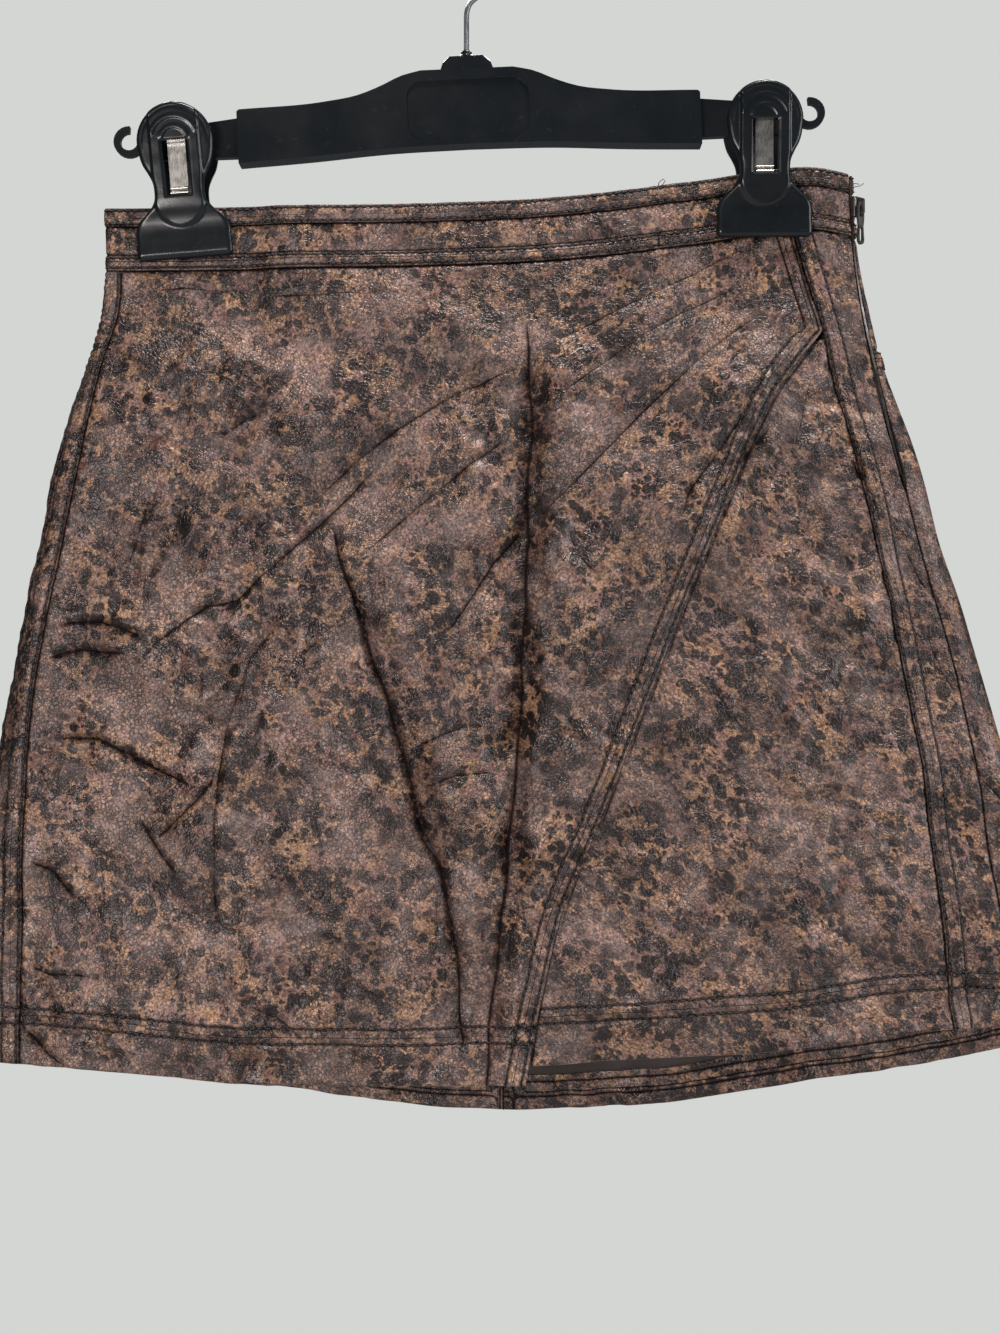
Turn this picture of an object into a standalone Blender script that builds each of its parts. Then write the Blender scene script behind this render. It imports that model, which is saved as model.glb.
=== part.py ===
"""A short A-line mock-wrap skirt in printed leather, hanging from a black two-clip hanger.

Blender 4.5, metres, +Z up.  The origin is the top of the hanger's hook, inside the wire,
where a rail carries it.  The front of the skirt faces -Y, and left and right are as a
person who faces the front sees them.  Tables and sizes below are in millimetres.

The skirt is one closed loop of cloth.  A point on it is a fraction `u` of the way round
(0 the left fold, then along the front, 0.5 the right fold, then along the back) and a
height `z`.  Each piece is a grid of such points between two seams, given a wall.
"""
import math
from collections import namedtuple

import bmesh
import bpy
import numpy as np
from mathutils import Matrix, Vector

MM = 0.001

# ---------------------------------------------------------------- cloth: driving sizes
WALL = 1.2             # leather with its backing
SEAM_GAP = 0.4         # between neighbouring pieces
FOOT_GAP = 0.6         # between the waistband and the panels, whose facets differ
BAND_TOP = 8.0         # the waistband's three strips, heights of their lower edges
BAND_MID = 20.3
BAND_FOOT = 27.2
TOP_PROUD = 0.6        # how far the binding and the lowest strip stand out
LOW_PROUD = 0.4
CB_SEAM_X = 16.0       # centre back seam
YOKE_Z = -182.0        # back yoke seam at the sides, and how much lower at the middle
YOKE_DIP = 12.0
TURN_UP = 16.0         # height of the hem's turned-up allowance
LOW_JOIN_X = 83.0      # join in the lowest strip of the waistband
LAP = 12.0             # how far the under panel reaches behind the wrap's edge
LAP_RAMP = 16.0        # length over which the wrap climbs on to it
LAP_LIFT = 2.2         # height of the wrap on the under panel
LAP_FREE = 2.0         # how much further the wrap's loose lower corner stands out
LAP_FREE_Z = -425.0    # where the wrap's edge comes loose, and the hem end of it
APEX_Z = -174.6        # where the wrap's edge leaves the side-front seam
UNDER_TOP_Z = -178.0   # top of the under panel, behind the wrap
HEM_WALL = 1.0         # thickness of the hem's allowance
CLOSE_STEP = 6.8       # rows of facets under the clips, and further down
WIDE_STEP = 21.0
FRONT_TALL = 345.0     # panels' heights, for their rows, and how deep the close rows reach
LEFT_TALL = 340.0
UNDER_TALL = 306.0
BACK_TALL = 318.0
FRONT_CLOSE = 61.2
UNDER_CLOSE = 34.0
BACK_CLOSE = 27.2

# ---------------------------------------------------------------- zip: driving sizes
ZIP_END_Z = -247.0
ZIP_SLIT = 2.8         # between the cloth's edges over the zip
ZIP_FADE = 8.0         # length over which the slit closes
ZIP_TAPE = 14.0
TAPE_WALL = 0.6
CHAIN = 1.5            # width and thickness of the row of teeth
CHAIN_WALL = 1.1
CHAIN_SHORT = 10.0     # the teeth end this far over the tape's end
SLIDER_Z = -121.0
SLIDER = (2.6, 5.6, 9.0)        # out of the cloth, across, tall
SLIDER_CLEAR = 0.9              # from the cloth's outer face to the slider's underside
BAIL_WIDTH = 1.2
BAIL_REACH = 2.8                # how far the bail stands out of the slider
BAIL_HALF = 3.6
PULL_OUT = SLIDER_CLEAR + SLIDER[0] + 0.85     # hinge axis out of the cloth
PULL_THICK = 1.0
PULL_LENGTH = 17.0
PULL_HALF = 2.3
PULL_WAIST = 1.7       # half width at the pull's narrowest place
PULL_EYE = (1.2, -4.6, -0.5)                   # half width, low, high
PULL_LOOP = (1.15, 1.2, 7.4)                   # half width, low and high over the pull's end

# Level sections: the two folds, how far the middle bulges out of the flat, and the
# radius of the soft folds at the sides.
Section = namedtuple("Section", "z left right bulge radius")
SECTIONS = (
    Section(-100, -157.5, 167.5, 2.0, 4.5),
    Section(-122, -157.5, 168.5, 2.5, 4.5),
    Section(-150, -157.0, 171.5, 4.5, 5.0),
    Section(-170, -159.5, 176.0, 7.0, 5.8),
    Section(-205, -170.0, 187.0, 9.5, 7.2),
    Section(-250, -181.5, 201.5, 11.5, 9.0),
    Section(-300, -192.0, 216.5, 13.0, 10.5),
    Section(-350, -201.0, 232.0, 14.0, 11.5),
    Section(-420, -210.0, 251.0, 15.0, 12.5),
    Section(-520, -219.0, 277.0, 16.0, 13.5),
)

# Heights of the waist's top edge and of the three free lower edges, along the skirt.
Edge = namedtuple("Edge", "x z")
WAIST = (
    Edge(-158, -121.2), Edge(-94, -120.4), Edge(-20, -119.8), Edge(40, -117.0),
    Edge(75, -113.1), Edge(105, -108.4), Edge(129, -104.8), Edge(153, -103.2),
    Edge(168, -106.8),
)
HEM_WRAP = (
    Edge(-218, -489.5), Edge(-170, -491.8), Edge(-92, -497.2), Edge(-30, -497.6),
    Edge(28, -496.4),
)
HEM_UNDER = (
    Edge(20, -489.4), Edge(90, -485.6), Edge(150, -481.4), Edge(209, -475.6),
    Edge(240, -475.4), Edge(270, -479.0),
)
HEM_BACK = (
    Edge(-218, -489.5), Edge(-170, -497.5), Edge(-78, -508.0), Edge(-36, -515.2),
    Edge(16, -518.4), Edge(60, -516.8), Edge(108, -511.2), Edge(160, -503.1),
    Edge(205, -494.6), Edge(244, -486.0), Edge(270, -479.0),
)

# Seams on the front, as the distance along the skirt at each height.
Stop = namedtuple("Stop", "z x")
SEAM_LEFT = (
    Stop(-140, -150.0), Stop(-165, -150.8), Stop(-190, -158.0), Stop(-235, -167.7),
    Stop(-275, -175.9), Stop(-334, -186.4), Stop(-378, -189.4), Stop(-444, -191.8),
    Stop(-492, -191.6),
)
SEAM_RIGHT = (
    Stop(-130, 141.6), Stop(-166, 152.2), Stop(-205, 161.7), Stop(-247, 172.0),
    Stop(-299, 183.6), Stop(-358, 194.8), Stop(-411, 202.1), Stop(-478, 209.2),
)
WRAP_EDGE = (
    Stop(-174.6, 154.4), Stop(-198, 136.3), Stop(-247, 113.1), Stop(-316, 84.7),
    Stop(-382, 58.5), Stop(-428, 40.0), Stop(-456, 33.1), Stop(-498, 25.2),
)
# The zip's seam: how far round in front of the right fold it runs.
ZIP_SEAM = (
    Stop(-100, 2.8), Stop(-150, 4.5), Stop(-182, 8.0), Stop(-216, 12.5), Stop(-255, 16.0),
    Stop(-322, 19.0), Stop(-388, 26.0), Stop(-430, 31.0), Stop(-480, 35.0),
)

# The largest folds: side (-1 front, +1 back), how far out (+) or in (-), half width, path.
Fold = namedtuple("Fold", "side out width path")
FOLDS = (
    Fold(-1, -3.6, 9.0, ((-58, -262), (-45, -297), (-27, -356), (-12, -404), (-1, -472))),
    Fold(-1, 2.6, 12.0, ((-38, -262), (-24, -300), (-6, -356), (5, -404), (11, -450))),
    Fold(-1, -2.0, 10.0, ((26, -162), (28, -210), (25, -290), (19, -404), (9, -500))),
    Fold(-1, 2.6, 13.0, ((42, -170), (42, -220), (40, -290), (32, -380))),
    Fold(-1, -2.2, 9.0, ((-26, -320), (4, -290), (23, -264), (64, -223), (98, -190), (133, -164))),
    Fold(-1, -1.8, 9.0, ((-71, -253), (-30, -220), (1, -201), (28, -190))),
    Fold(-1, 3.4, 26.0, ((-110, -300), (-104, -400), (-98, -500))),
    Fold(-1, 3.0, 24.0, ((120, -330), (128, -400), (132, -490))),
    Fold(1, -4.0, 16.0, ((-70, -300), (-92, -400), (-104, -510))),
    Fold(1, 4.5, 20.0, ((-20, -290), (-34, -400), (-40, -520))),
    Fold(1, -4.0, 16.0, ((74, -290), (84, -400), (92, -515))),
    Fold(1, 3.5, 20.0, ((130, -300), (146, -400), (158, -505))),
    Fold(1, -2.2, 10.0, ((-108, -170), (-60, -210), (-20, -262))),
    Fold(1, -2.2, 10.0, ((112, -160), (80, -206), (52, -262))),
)

# ---------------------------------------------------------------- hanger: driving sizes
Clip = namedtuple("Clip", "side x z lean")
CLIPS = (Clip("left", -121.5, -143.0, 4.6), Clip("right", 129.2, -133.8, 0.4))
PRESSED = 1.6          # half thickness of the waistband's plain cloth inside a clip
JAW_HALF = 20.6
GRIP_HALF = 29.0       # cloth pressed flat to each side of a clip, and how soon it opens
GRIP_EDGE = 4.6
GRIP_FADE = (-152.0, -205.0)
TILT = math.radians(2.45)
PIVOT_Z = -56.0        # the bar swings on the hook's foot
BAR_HALF = 100.4
BAR_DEPTH = 12.0
WIRE = 2.3
CROOK = 15.15          # centreline radius of the hook
Spot = namedtuple("Spot", "x z")
BAR_TOP = (            # the bar's upper edge from near its middle to its end, heights from the pivot
    Spot(20, -5.3), Spot(29, -7.4), Spot(37, -11.0), Spot(47, -14.6), Spot(62, -17.0),
    Spot(BAR_HALF - 1, -18.8),
)
BAR_FOOT = (Spot(0, -37.8), Spot(35, -38.4), Spot(70, -40.6), Spot(BAR_HALF, -42.0))
BAR_STEP = 4.0
RECESS = (26.5, -35.6, -10.0, 7.0)             # half width, low, high, corner radius
RECESS_CUT = 1.6       # thickness of its cutter, half of which sinks into the bar
ARM = (
    Spot(BAR_HALF + 0.4, -38.6), Spot(BAR_HALF + 0.4, -21.8), Spot(116, -23.4), Spot(139, -28.2),
    Spot(143, -30.5), Spot(143, -36.5), Spot(139, -38.4),
)
ARM_WALL = 5.0
NOTCH = Spot(148.0, -29.7)                     # centre of the ring of the loop hook
NOTCH_R = 6.7
NOTCH_WIRE = 2.9
NOTCH_WALL = 4.0
NOTCH_TURN = (200, 455)                        # degrees
COLLAR = (
    Spot(-11.6, -5.0), Spot(11.6, -5.0), Spot(10.4, -1.8), Spot(7.4, 1.0), Spot(-7.4, 1.0),
    Spot(-10.4, -1.8),
)
COLLAR_WALL = 8.0
NUT = (                # radius and height of the hook's foot, from the top down
    Spot(0, 3.9), Spot(1.9, 3.9), Spot(2.4, 3.2), Spot(2.4, 2.2), Spot(3.4, 1.4), Spot(3.4, 1.3),
    Spot(0, 1.3),
)
HOOK_TURN = (-58, 205)                         # the crook's ends, in degrees
SHANK = (Spot(0, -38), Spot(0, -31.2), Spot(2.6, -30.0))
SHANK_FOOT = 4.2       # height of the wire's end over the pivot

# A clip's plate, from its lower edge up: half width, and where its inner face is.
Rib = namedtuple("Rib", "z half inner")
HEAD_R = 16.4
HEAD_Z = 49.4
PLATE = 3.0
JAW = (
    Rib(0.0, 18.6, 3.0), Rib(0.8, 20.0, 2.9), Rib(2.4, JAW_HALF, 2.9), Rib(8.0, 20.5, 2.9),
    Rib(14.2, 20.2, 3.0), Rib(16.8, 18.6, 3.6), Rib(19.4, 15.4, 4.6), Rib(22.4, 12.2, 5.6),
    Rib(26.0, 10.9, 6.2), Rib(30.0, 10.9, 6.6), Rib(34.0, 11.6, 7.0),
)
WINDOW = (5.6, 26.5, 49.5)       # half width, low, high
STRAP_HALF = 3.9
STRAP = 0.7
STRAP_R = 6.6                    # the bend over the arm, and its height
STRAP_Z = 57.0

LEATHER = ("leather", (0.155, 0.085, 0.055), 0.38, 0.0)
LEATHER_DARK = ("leather_inside", (0.022, 0.013, 0.012), 0.8, 0.0)
PLASTIC = ("hanger_plastic", (0.012, 0.013, 0.015), 0.35, 0.0)
STEEL = ("spring_steel", (0.62, 0.60, 0.56), 0.3, 1.0)
ZIP_METAL = ("zip_metal", (0.05, 0.045, 0.045), 0.4, 0.8)
TAPE = ("zip_tape", (0.03, 0.022, 0.02), 0.85, 0.0)


# ---------------------------------------------------------------- scene helpers
def clear_scene():
    for old in list(bpy.data.objects):
        bpy.data.objects.remove(old)


def collection(name):
    made = bpy.data.collections.new(name)
    bpy.context.scene.collection.children.link(made)
    return made


def material(spec):
    name, colour, roughness, metallic = spec
    if name in bpy.data.materials:
        return bpy.data.materials[name]
    made = bpy.data.materials.new(name)
    made.use_nodes = True
    shader = made.node_tree.nodes["Principled BSDF"]
    shader.inputs["Base Color"].default_value = (*colour, 1.0)
    shader.inputs["Roughness"].default_value = roughness
    shader.inputs["Metallic"].default_value = metallic
    return made


def add(name, data, spec, matrix=None, group="leather_mini_skirt"):
    made = bpy.data.objects.new(name, data)
    bpy.data.collections[group].objects.link(made)
    if spec:
        data.materials.clear()
        data.materials.append(material(spec))
    if matrix is not None:
        made.matrix_world = matrix
    return made


def cutter(name, data, matrix):
    made = add(name, data, None, matrix, "cutters")
    made.hide_render = True
    made.display_type = "WIRE"
    return made


def cut(target, tool, operation="DIFFERENCE"):
    step = target.modifiers.new(tool.name, "BOOLEAN")
    step.operation = operation
    step.solver = "EXACT"
    step.object = tool


# ---------------------------------------------------------------- the skirt's surface
def smooth(rows, key, value, at):
    """Cubic through a table's rows, level past its ends."""
    knots = np.array([getattr(row, key) for row in rows], float)
    heights = np.array([getattr(row, value) for row in rows], float)
    if knots[0] > knots[-1]:
        knots, heights = knots[::-1], heights[::-1]
    slopes = np.gradient(heights, knots)
    at = np.clip(at, knots[0], knots[-1])
    i = np.clip(np.searchsorted(knots, at) - 1, 0, len(knots) - 2)
    span = knots[i + 1] - knots[i]
    f = (at - knots[i]) / span
    return (heights[i] * (1 + 2 * f) * (1 - f) ** 2 + heights[i + 1] * f * f * (3 - 2 * f)
            + span * (slopes[i] * f * (1 - f) ** 2 - slopes[i + 1] * f * f * (1 - f)))


def ease(value):
    """0 to 1 with level ends."""
    f = np.clip(value, 0.0, 1.0)
    return f * f * (3 - 2 * f)


def frame_at(z):
    """Left fold, right fold, middle's bulge, fold radius and girth at height z."""
    left, right, bulge, radius = (smooth(SECTIONS, "z", column, z)
                                  for column in ("left", "right", "bulge", "radius"))
    girth = 2 * (right - left - 2 * radius) + 2 * math.pi * radius
    return left, right, bulge, radius, girth


def path_distance(x, z, path):
    """Distance to a path of points, and 0 to 1 along it."""
    best = np.full(np.shape(x), 1e9)
    along = np.zeros(np.shape(x))
    points = np.array(path, float)
    lengths = np.hypot(*np.diff(points, axis=0).T)
    for i, length in enumerate(lengths):
        (ax, az), (bx, bz) = points[i], points[i + 1]
        f = np.clip(((x - ax) * (bx - ax) + (z - az) * (bz - az)) / length ** 2, 0, 1)
        gap = np.hypot(x - ax - f * (bx - ax), z - az - f * (bz - az))
        here = (lengths[:i].sum() + f * length) / lengths.sum()
        along = np.where(gap < best, here, along)
        best = np.minimum(best, gap)
    return best, along


def fold_height(x, z, side):
    """How far the large folds move the cloth out at a place on the front or back."""
    total = np.zeros(np.shape(x))
    for fold in FOLDS:
        if fold.side == side:
            gap, along = path_distance(x, z, fold.path)
            ends = ease(along * 5) * np.where(fold.path[-1][1] < -440, 1.0, ease((1 - along) * 5))
            total += fold.out * np.exp(-(gap / fold.width) ** 2) * ends
    return total


def grip(x, z):
    """1 where a clip presses the cloth, 0 away from it."""
    reach = 0.0
    for clip in CLIPS:
        reach = reach + 0.5 * (np.tanh((x - clip.x + GRIP_HALF) / GRIP_EDGE)
                               - np.tanh((x - clip.x - GRIP_HALF) / GRIP_EDGE))
    return np.clip(reach, 0, 1) * ease((z - GRIP_FADE[1]) / (GRIP_FADE[0] - GRIP_FADE[1]))


def plan(u, z):
    """x and y of the skirt's outer face at fraction u round it and height z."""
    left, right, bulge, radius, girth = frame_at(z)
    quarter = math.pi * radius / 2
    run = right - left - 2 * radius
    s = (u % 1.0) * girth
    ends = [s < quarter, s < quarter + run, s < 3 * quarter + run, s < 3 * quarter + 2 * run]
    x = np.select(ends, [
        left + radius - radius * np.cos(s / radius),
        left + radius + s - quarter,
        right - radius + radius * np.sin((s - quarter - run) / radius),
        right - radius - (s - 3 * quarter - run),
    ], left + radius - radius * np.sin((s - 3 * quarter - 2 * run) / radius))
    y = np.select(ends, [
        -radius * np.sin(s / radius), -radius,
        -radius * np.cos((s - quarter - run) / radius), radius,
    ], radius * np.cos((s - 3 * quarter - 2 * run) / radius))
    middle = np.clip(1 - ((x - left - radius - run / 2) / (run / 2)) ** 2, 0, 1)
    side = np.where(y < 0, -1, 1)
    out = bulge * middle ** 1.5
    out += np.where(y < 0, fold_height(x, z, -1), fold_height(x, z, 1)) * ease(middle * 6)
    pressed = grip(x, z)
    y = y + side * out
    return x, y * (1 - pressed) + side * PRESSED * pressed


def surface(u, z, lift):
    """Points of the skirt at u and z, moved out by lift along the cloth's normal."""
    u, z, lift = np.broadcast_arrays(np.asarray(u, float), z, lift)
    x, y = plan(u, z)
    step_u, step_z = 1e-3, 1.0
    ahead = np.stack([*plan(u + step_u, z), z], -1) - np.stack([*plan(u - step_u, z), z], -1)
    down = (np.stack([*plan(u, z - step_z), z - step_z], -1)
            - np.stack([*plan(u, z + step_z), z + step_z], -1))
    normal = np.cross(down, ahead)
    normal /= np.linalg.norm(normal, axis=-1, keepdims=True)
    return np.stack([x, y, z], -1) + normal * lift[..., None]


def front_u(x, z):
    """Fraction round the skirt of a place on its front."""
    left, right, _, radius, girth = frame_at(z)
    quarter = math.pi * radius / 2
    run = right - left - 2 * radius
    from_left = radius * np.arccos(np.clip((left + radius - x) / radius, -1, 1))
    from_right = radius * np.arcsin(np.clip((x - right + radius) / radius, 0, 1))
    s = np.where(x < left + radius, from_left,
                 np.where(x < right - radius, quarter + x - left - radius,
                          quarter + run + from_right))
    return s / girth


def back_u(x, z):
    left, right, _, radius, girth = frame_at(z)
    return (1.5 * math.pi * radius + 2 * right - left - 3 * radius - x) / girth


def waist_z(u):
    return smooth(WAIST, "x", "z", plan(u, np.full(np.shape(u), -115.0))[0])


def hem_x(u):
    return plan(u, np.full(np.shape(u), -490.0))[0]


def hem_left(u):
    """Lower edge of the wrap, and of what it joins round the left fold."""
    front = (np.asarray(u) % 1.0) < 0.5
    return np.where(front, smooth(HEM_WRAP, "x", "z", hem_x(u)),
                    smooth(HEM_BACK, "x", "z", hem_x(u)))


def hem_right(u):
    """Lower edge of the under panel, and of what it joins round the right fold."""
    front = (np.asarray(u) % 1.0) < 0.5
    return np.where(front, smooth(HEM_UNDER, "x", "z", hem_x(u)),
                    smooth(HEM_BACK, "x", "z", hem_x(u)))


def below_waist(drop):
    return lambda u: waist_z(u) - drop


def yoke_z(u):
    x = plan(u, np.full(np.shape(u), YOKE_Z))[0]
    return YOKE_Z - YOKE_DIP * np.exp(-((x - CB_SEAM_X) / 90.0) ** 2)


def below_yoke(u):
    return yoke_z(u) - SEAM_GAP


# Seams as functions that give u at height z.
def left_seam(z):
    return front_u(smooth(SEAM_LEFT, "z", "x", z), z)


def right_seam(z):
    return front_u(smooth(SEAM_RIGHT, "z", "x", z), z)


def wrap_edge(z):
    return np.minimum(front_u(smooth(WRAP_EDGE, "z", "x", z), z), right_seam(z))


def under_edge(z):
    return wrap_edge(z) - LAP / frame_at(z)[4]


def zip_seam(z):
    return 0.5 - smooth(ZIP_SEAM, "z", "x", z) / frame_at(z)[4]


def low_join(z):
    return front_u(LOW_JOIN_X, z)


def beside_zip(offset):
    """A line that far along the skirt from the zip's seam."""
    return lambda z: zip_seam(z) + offset / frame_at(z)[4]


def left_back_seam(z):
    """The left side strip is as wide as the right one."""
    return 1.0 + left_seam(z) - (zip_seam(z) - right_seam(z))


def left_back_seam_low(z):
    return left_back_seam(z) - 1.0


def centre_back(z):
    return back_u(CB_SEAM_X, z)


def constant(value):
    return lambda z: np.full(np.shape(z), value)


# ---------------------------------------------------------------- cloth pieces
def spread(count, start=0.0, end=0.0, tight=6):
    """Even columns, with tight ones over the share at each end that goes round a fold."""
    places = list(np.linspace(start, 1 - end, count + 1))
    if start:
        places = list(np.linspace(0, start, tight, endpoint=False)) + places
    if end:
        places += list(1 - np.linspace(0, end, tight, endpoint=False)[::-1])
    return places


def grid(first, last, top, bottom, rows, columns, gaps=(None, None)):
    """u and z of a piece between two seams and two level edges.

    gaps are functions of z: how far each side edge stays back from its seam."""
    across = np.array(columns)[None, :]
    u = np.full((len(rows), across.size), 0.25)
    z = np.full(u.shape, -300.0)
    down = np.array(rows)[:, None]
    back = [gap or constant(SEAM_GAP / 2) for gap in gaps]
    for _ in range(12):
        girth = frame_at(z)[4]
        start = first(z) + back[0](z) / girth
        end = last(z) - back[1](z) / girth
        u = start + (end - start) * across
        z = top(u) + (bottom(u) - top(u)) * down
    return u, z


def wall(name, u, z, lift, spec, thick=WALL):
    """A closed solid between the points at lift and the points one wall below them."""
    outer = surface(u, z, lift)
    inner = surface(u, z, np.asarray(lift, float) - thick)
    rows, columns = u.shape
    ring = ([(0, c) for c in range(columns)] + [(r, columns - 1) for r in range(1, rows)]
            + [(rows - 1, c) for c in range(columns - 2, -1, -1)]
            + [(r, 0) for r in range(rows - 2, 0, -1)])
    size = rows * columns
    faces = []
    for r in range(rows - 1):
        for c in range(columns - 1):
            a, b = r * columns + c, r * columns + c + 1
            d, e = a + columns, b + columns
            faces.append((a, d, e, b))
            faces.append((a + size, b + size, e + size, d + size))
    for i, (r, c) in enumerate(ring):
        next_r, next_c = ring[(i + 1) % len(ring)]
        a, b = r * columns + c, next_r * columns + next_c
        faces.append((a, b, b + size, a + size))
    mesh = bpy.data.meshes.new(name)
    mesh.from_pydata((np.concatenate([outer.reshape(-1, 3), inner.reshape(-1, 3)]) * MM).tolist(),
                     [], faces)
    shell = bmesh.new()
    shell.from_mesh(mesh)
    bmesh.ops.recalc_face_normals(shell, faces=shell.faces)
    shell.to_mesh(mesh)
    shell.free()
    mesh.shade_smooth()
    mesh.set_sharp_from_angle(angle=math.radians(40))
    return add(name, mesh, spec)


def levels(height, close):
    """Rows down a panel: close ones first, then wide ones, then two for the hem's allowance."""
    wide = height - TURN_UP - close
    rows = [CLOSE_STEP * i for i in range(round(close / CLOSE_STEP))]
    rows += list(np.linspace(close, height - TURN_UP, round(wide / WIDE_STEP) + 1))
    return [row / height for row in rows + [height - TURN_UP / 2, height]]


def hem_strip(name, u, z, lift):
    """The allowance turned up inside a panel, from the panel's own lowest rows."""
    low = slice(-3, None)
    inside = np.broadcast_to(lift, u.shape)[low] - WALL - SEAM_GAP
    raised = z[low].copy()
    raised[0] -= 1.0
    wall(name, u[low], raised, inside, LEATHER, HEM_WALL)


def zip_gap(z):
    """Half of the slit over the zip, closing to a seam under it."""
    return SEAM_GAP / 2 + (ZIP_SLIT - SEAM_GAP) / 2 * ease((z - ZIP_END_Z) / ZIP_FADE)


def wrap_lift(u, z):
    """The wrap climbs on to the under panel along its edge, and is loose at the foot."""
    near = (wrap_edge(z) - u) * frame_at(z)[4]
    on = ease((LAP + LAP_RAMP - near) / LAP_RAMP) * ease((APEX_Z + 18 - z) / 14.0)
    loose = ease((LAP_FREE_Z - z) / 60.0) * ease((34.0 - near) / 34.0)
    return LAP_LIFT * on + LAP_FREE * loose


def make_band():
    strips = (
        ("band_top", 0.0, BAND_TOP, TOP_PROUD, WALL + TOP_PROUD),
        ("band_mid", BAND_TOP + SEAM_GAP, BAND_MID, 0.0, WALL),
        ("band_low", BAND_MID + SEAM_GAP, BAND_FOOT, LOW_PROUD, WALL + LOW_PROUD),
    )
    for name, upper, lower, proud, thick in strips:
        rows = (0.0, 1.0)
        top, bottom = below_waist(upper), below_waist(lower)
        fronts = [("_front", constant(0.0), zip_seam, spread(28, 0.026, 0.02, 4), (None, zip_gap))]
        if name == "band_low":
            fronts = [("_front_left", constant(0.0), low_join, spread(21, 0.034, 0, 4), (None, None)),
                      ("_front_right", low_join, zip_seam, spread(8, 0, 0.08, 4), (None, zip_gap))]
        for part, first, last, columns, gaps in fronts:
            u, z = grid(first, last, top, bottom, rows, columns, gaps)
            wall(name + part, u, z, proud, LEATHER, thick)
        columns = spread(28, 0.04, 0.026, 5)
        u, z = grid(zip_seam, constant(1.0), top, bottom, rows, columns, (zip_gap, None))
        wall(name + "_back", u, z, proud, LEATHER, thick)


def make_panels():
    foot = below_waist(BAND_FOOT + FOOT_GAP)
    u, z = grid(left_seam, wrap_edge, foot, hem_left, levels(FRONT_TALL, FRONT_CLOSE),
                spread(18))
    lift = wrap_lift(u, z)
    wall("front_left_wrap", u, z, lift, LEATHER)
    hem_strip("hem_front_left", u, z, lift)

    u, z = grid(under_edge, right_seam, constant(UNDER_TOP_Z), hem_right,
                levels(UNDER_TALL, UNDER_CLOSE), spread(10))
    wall("front_right_under", u, z, 0.0, LEATHER)
    hem_strip("hem_front_right", u, z, 0.0)

    u, z = grid(left_back_seam_low, left_seam, foot, hem_left, 
                levels(LEFT_TALL, FRONT_CLOSE), spread(8))
    wall("side_left", u, z, 0.0, LEATHER)
    hem_strip("hem_side_left", u, z, 0.0)

    u, z = grid(right_seam, zip_seam, foot, hem_right, levels(FRONT_TALL, FRONT_CLOSE), spread(7),
                (None, zip_gap))
    wall("side_right", u, z, 0.0, LEATHER)
    hem_strip("hem_side_right", u, z, 0.0)

    columns = spread(22, 0.09, 0.12, 7)
    u, z = grid(zip_seam, left_back_seam, foot, yoke_z, np.linspace(0, 1, 6), columns,
                (zip_gap, None))
    wall("back_yoke", u, z, 0.0, LEATHER)

    u, z = grid(zip_seam, centre_back, below_yoke, hem_right, levels(BACK_TALL, BACK_CLOSE),
                spread(13, 0.18), (zip_gap, None))
    wall("back_right", u, z, 0.0, LEATHER)
    hem_strip("hem_back_right", u, z, 0.0)

    columns = spread(12, 0, 0.06, 4)
    u, z = grid(centre_back, left_back_seam, below_yoke, hem_left, 
                levels(BACK_TALL, BACK_CLOSE), columns)
    wall("back_left", u, z, 0.0, LEATHER)
    hem_strip("hem_back_left", u, z, 0.0)


# ---------------------------------------------------------------- zip
def zip_frame():
    """The slider's own axes: X out of the cloth, Y round the skirt, Z up."""
    z = np.array(SLIDER_Z)
    here = surface(zip_seam(z), z, 0.0)
    out = surface(zip_seam(z), z, 1.0) - here
    angle = math.atan2(out[1], out[0])
    return Matrix.Translation(Vector(here * MM)) @ Matrix.Rotation(angle, 4, "Z")


def flat_curve(name, outlines, thick, matrix, spec=None):
    """A flat shape of one outer and any inner outlines, given a thickness, as a mesh."""
    data = bpy.data.curves.new(name, "CURVE")
    data.dimensions = "2D"
    data.fill_mode = "BOTH"
    data.extrude = thick / 2 * MM
    for outline in outlines:
        spline = data.splines.new("POLY")
        spline.points.add(len(outline) - 1)
        for point, (x, y) in zip(spline.points, outline):
            point.co = (x * MM, y * MM, 0, 1)
        spline.use_cyclic_u = True
    drawn = bpy.data.objects.new(name + "_curve", data)
    bpy.context.scene.collection.objects.link(drawn)
    bpy.context.view_layer.update()
    ready = drawn.evaluated_get(bpy.context.evaluated_depsgraph_get())
    mesh = bpy.data.meshes.new_from_object(ready)
    bpy.data.objects.remove(drawn)
    shell = bmesh.new()
    shell.from_mesh(mesh)
    bmesh.ops.remove_doubles(shell, verts=shell.verts, dist=1e-6)
    bmesh.ops.recalc_face_normals(shell, faces=shell.faces)
    shell.to_mesh(mesh)
    shell.free()
    if spec is None:
        return mesh
    return add(name, mesh, spec, matrix)


def arc(cx, cy, radius, start, end, steps):
    """Points on a round stretch, in degrees."""
    angles = [math.radians(start + (end - start) * i / steps) for i in range(steps + 1)]
    return [(cx + radius * math.cos(a), cy + radius * math.sin(a)) for a in angles]


def rounded_box(half_x, low, high, radius, steps=3):
    return (arc(half_x - radius, high - radius, radius, 0, 90, steps)
            + arc(-half_x + radius, high - radius, radius, 90, 180, steps)
            + arc(-half_x + radius, low + radius, radius, 180, 270, steps)
            + arc(half_x - radius, low + radius, radius, 270, 360, steps))


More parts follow.
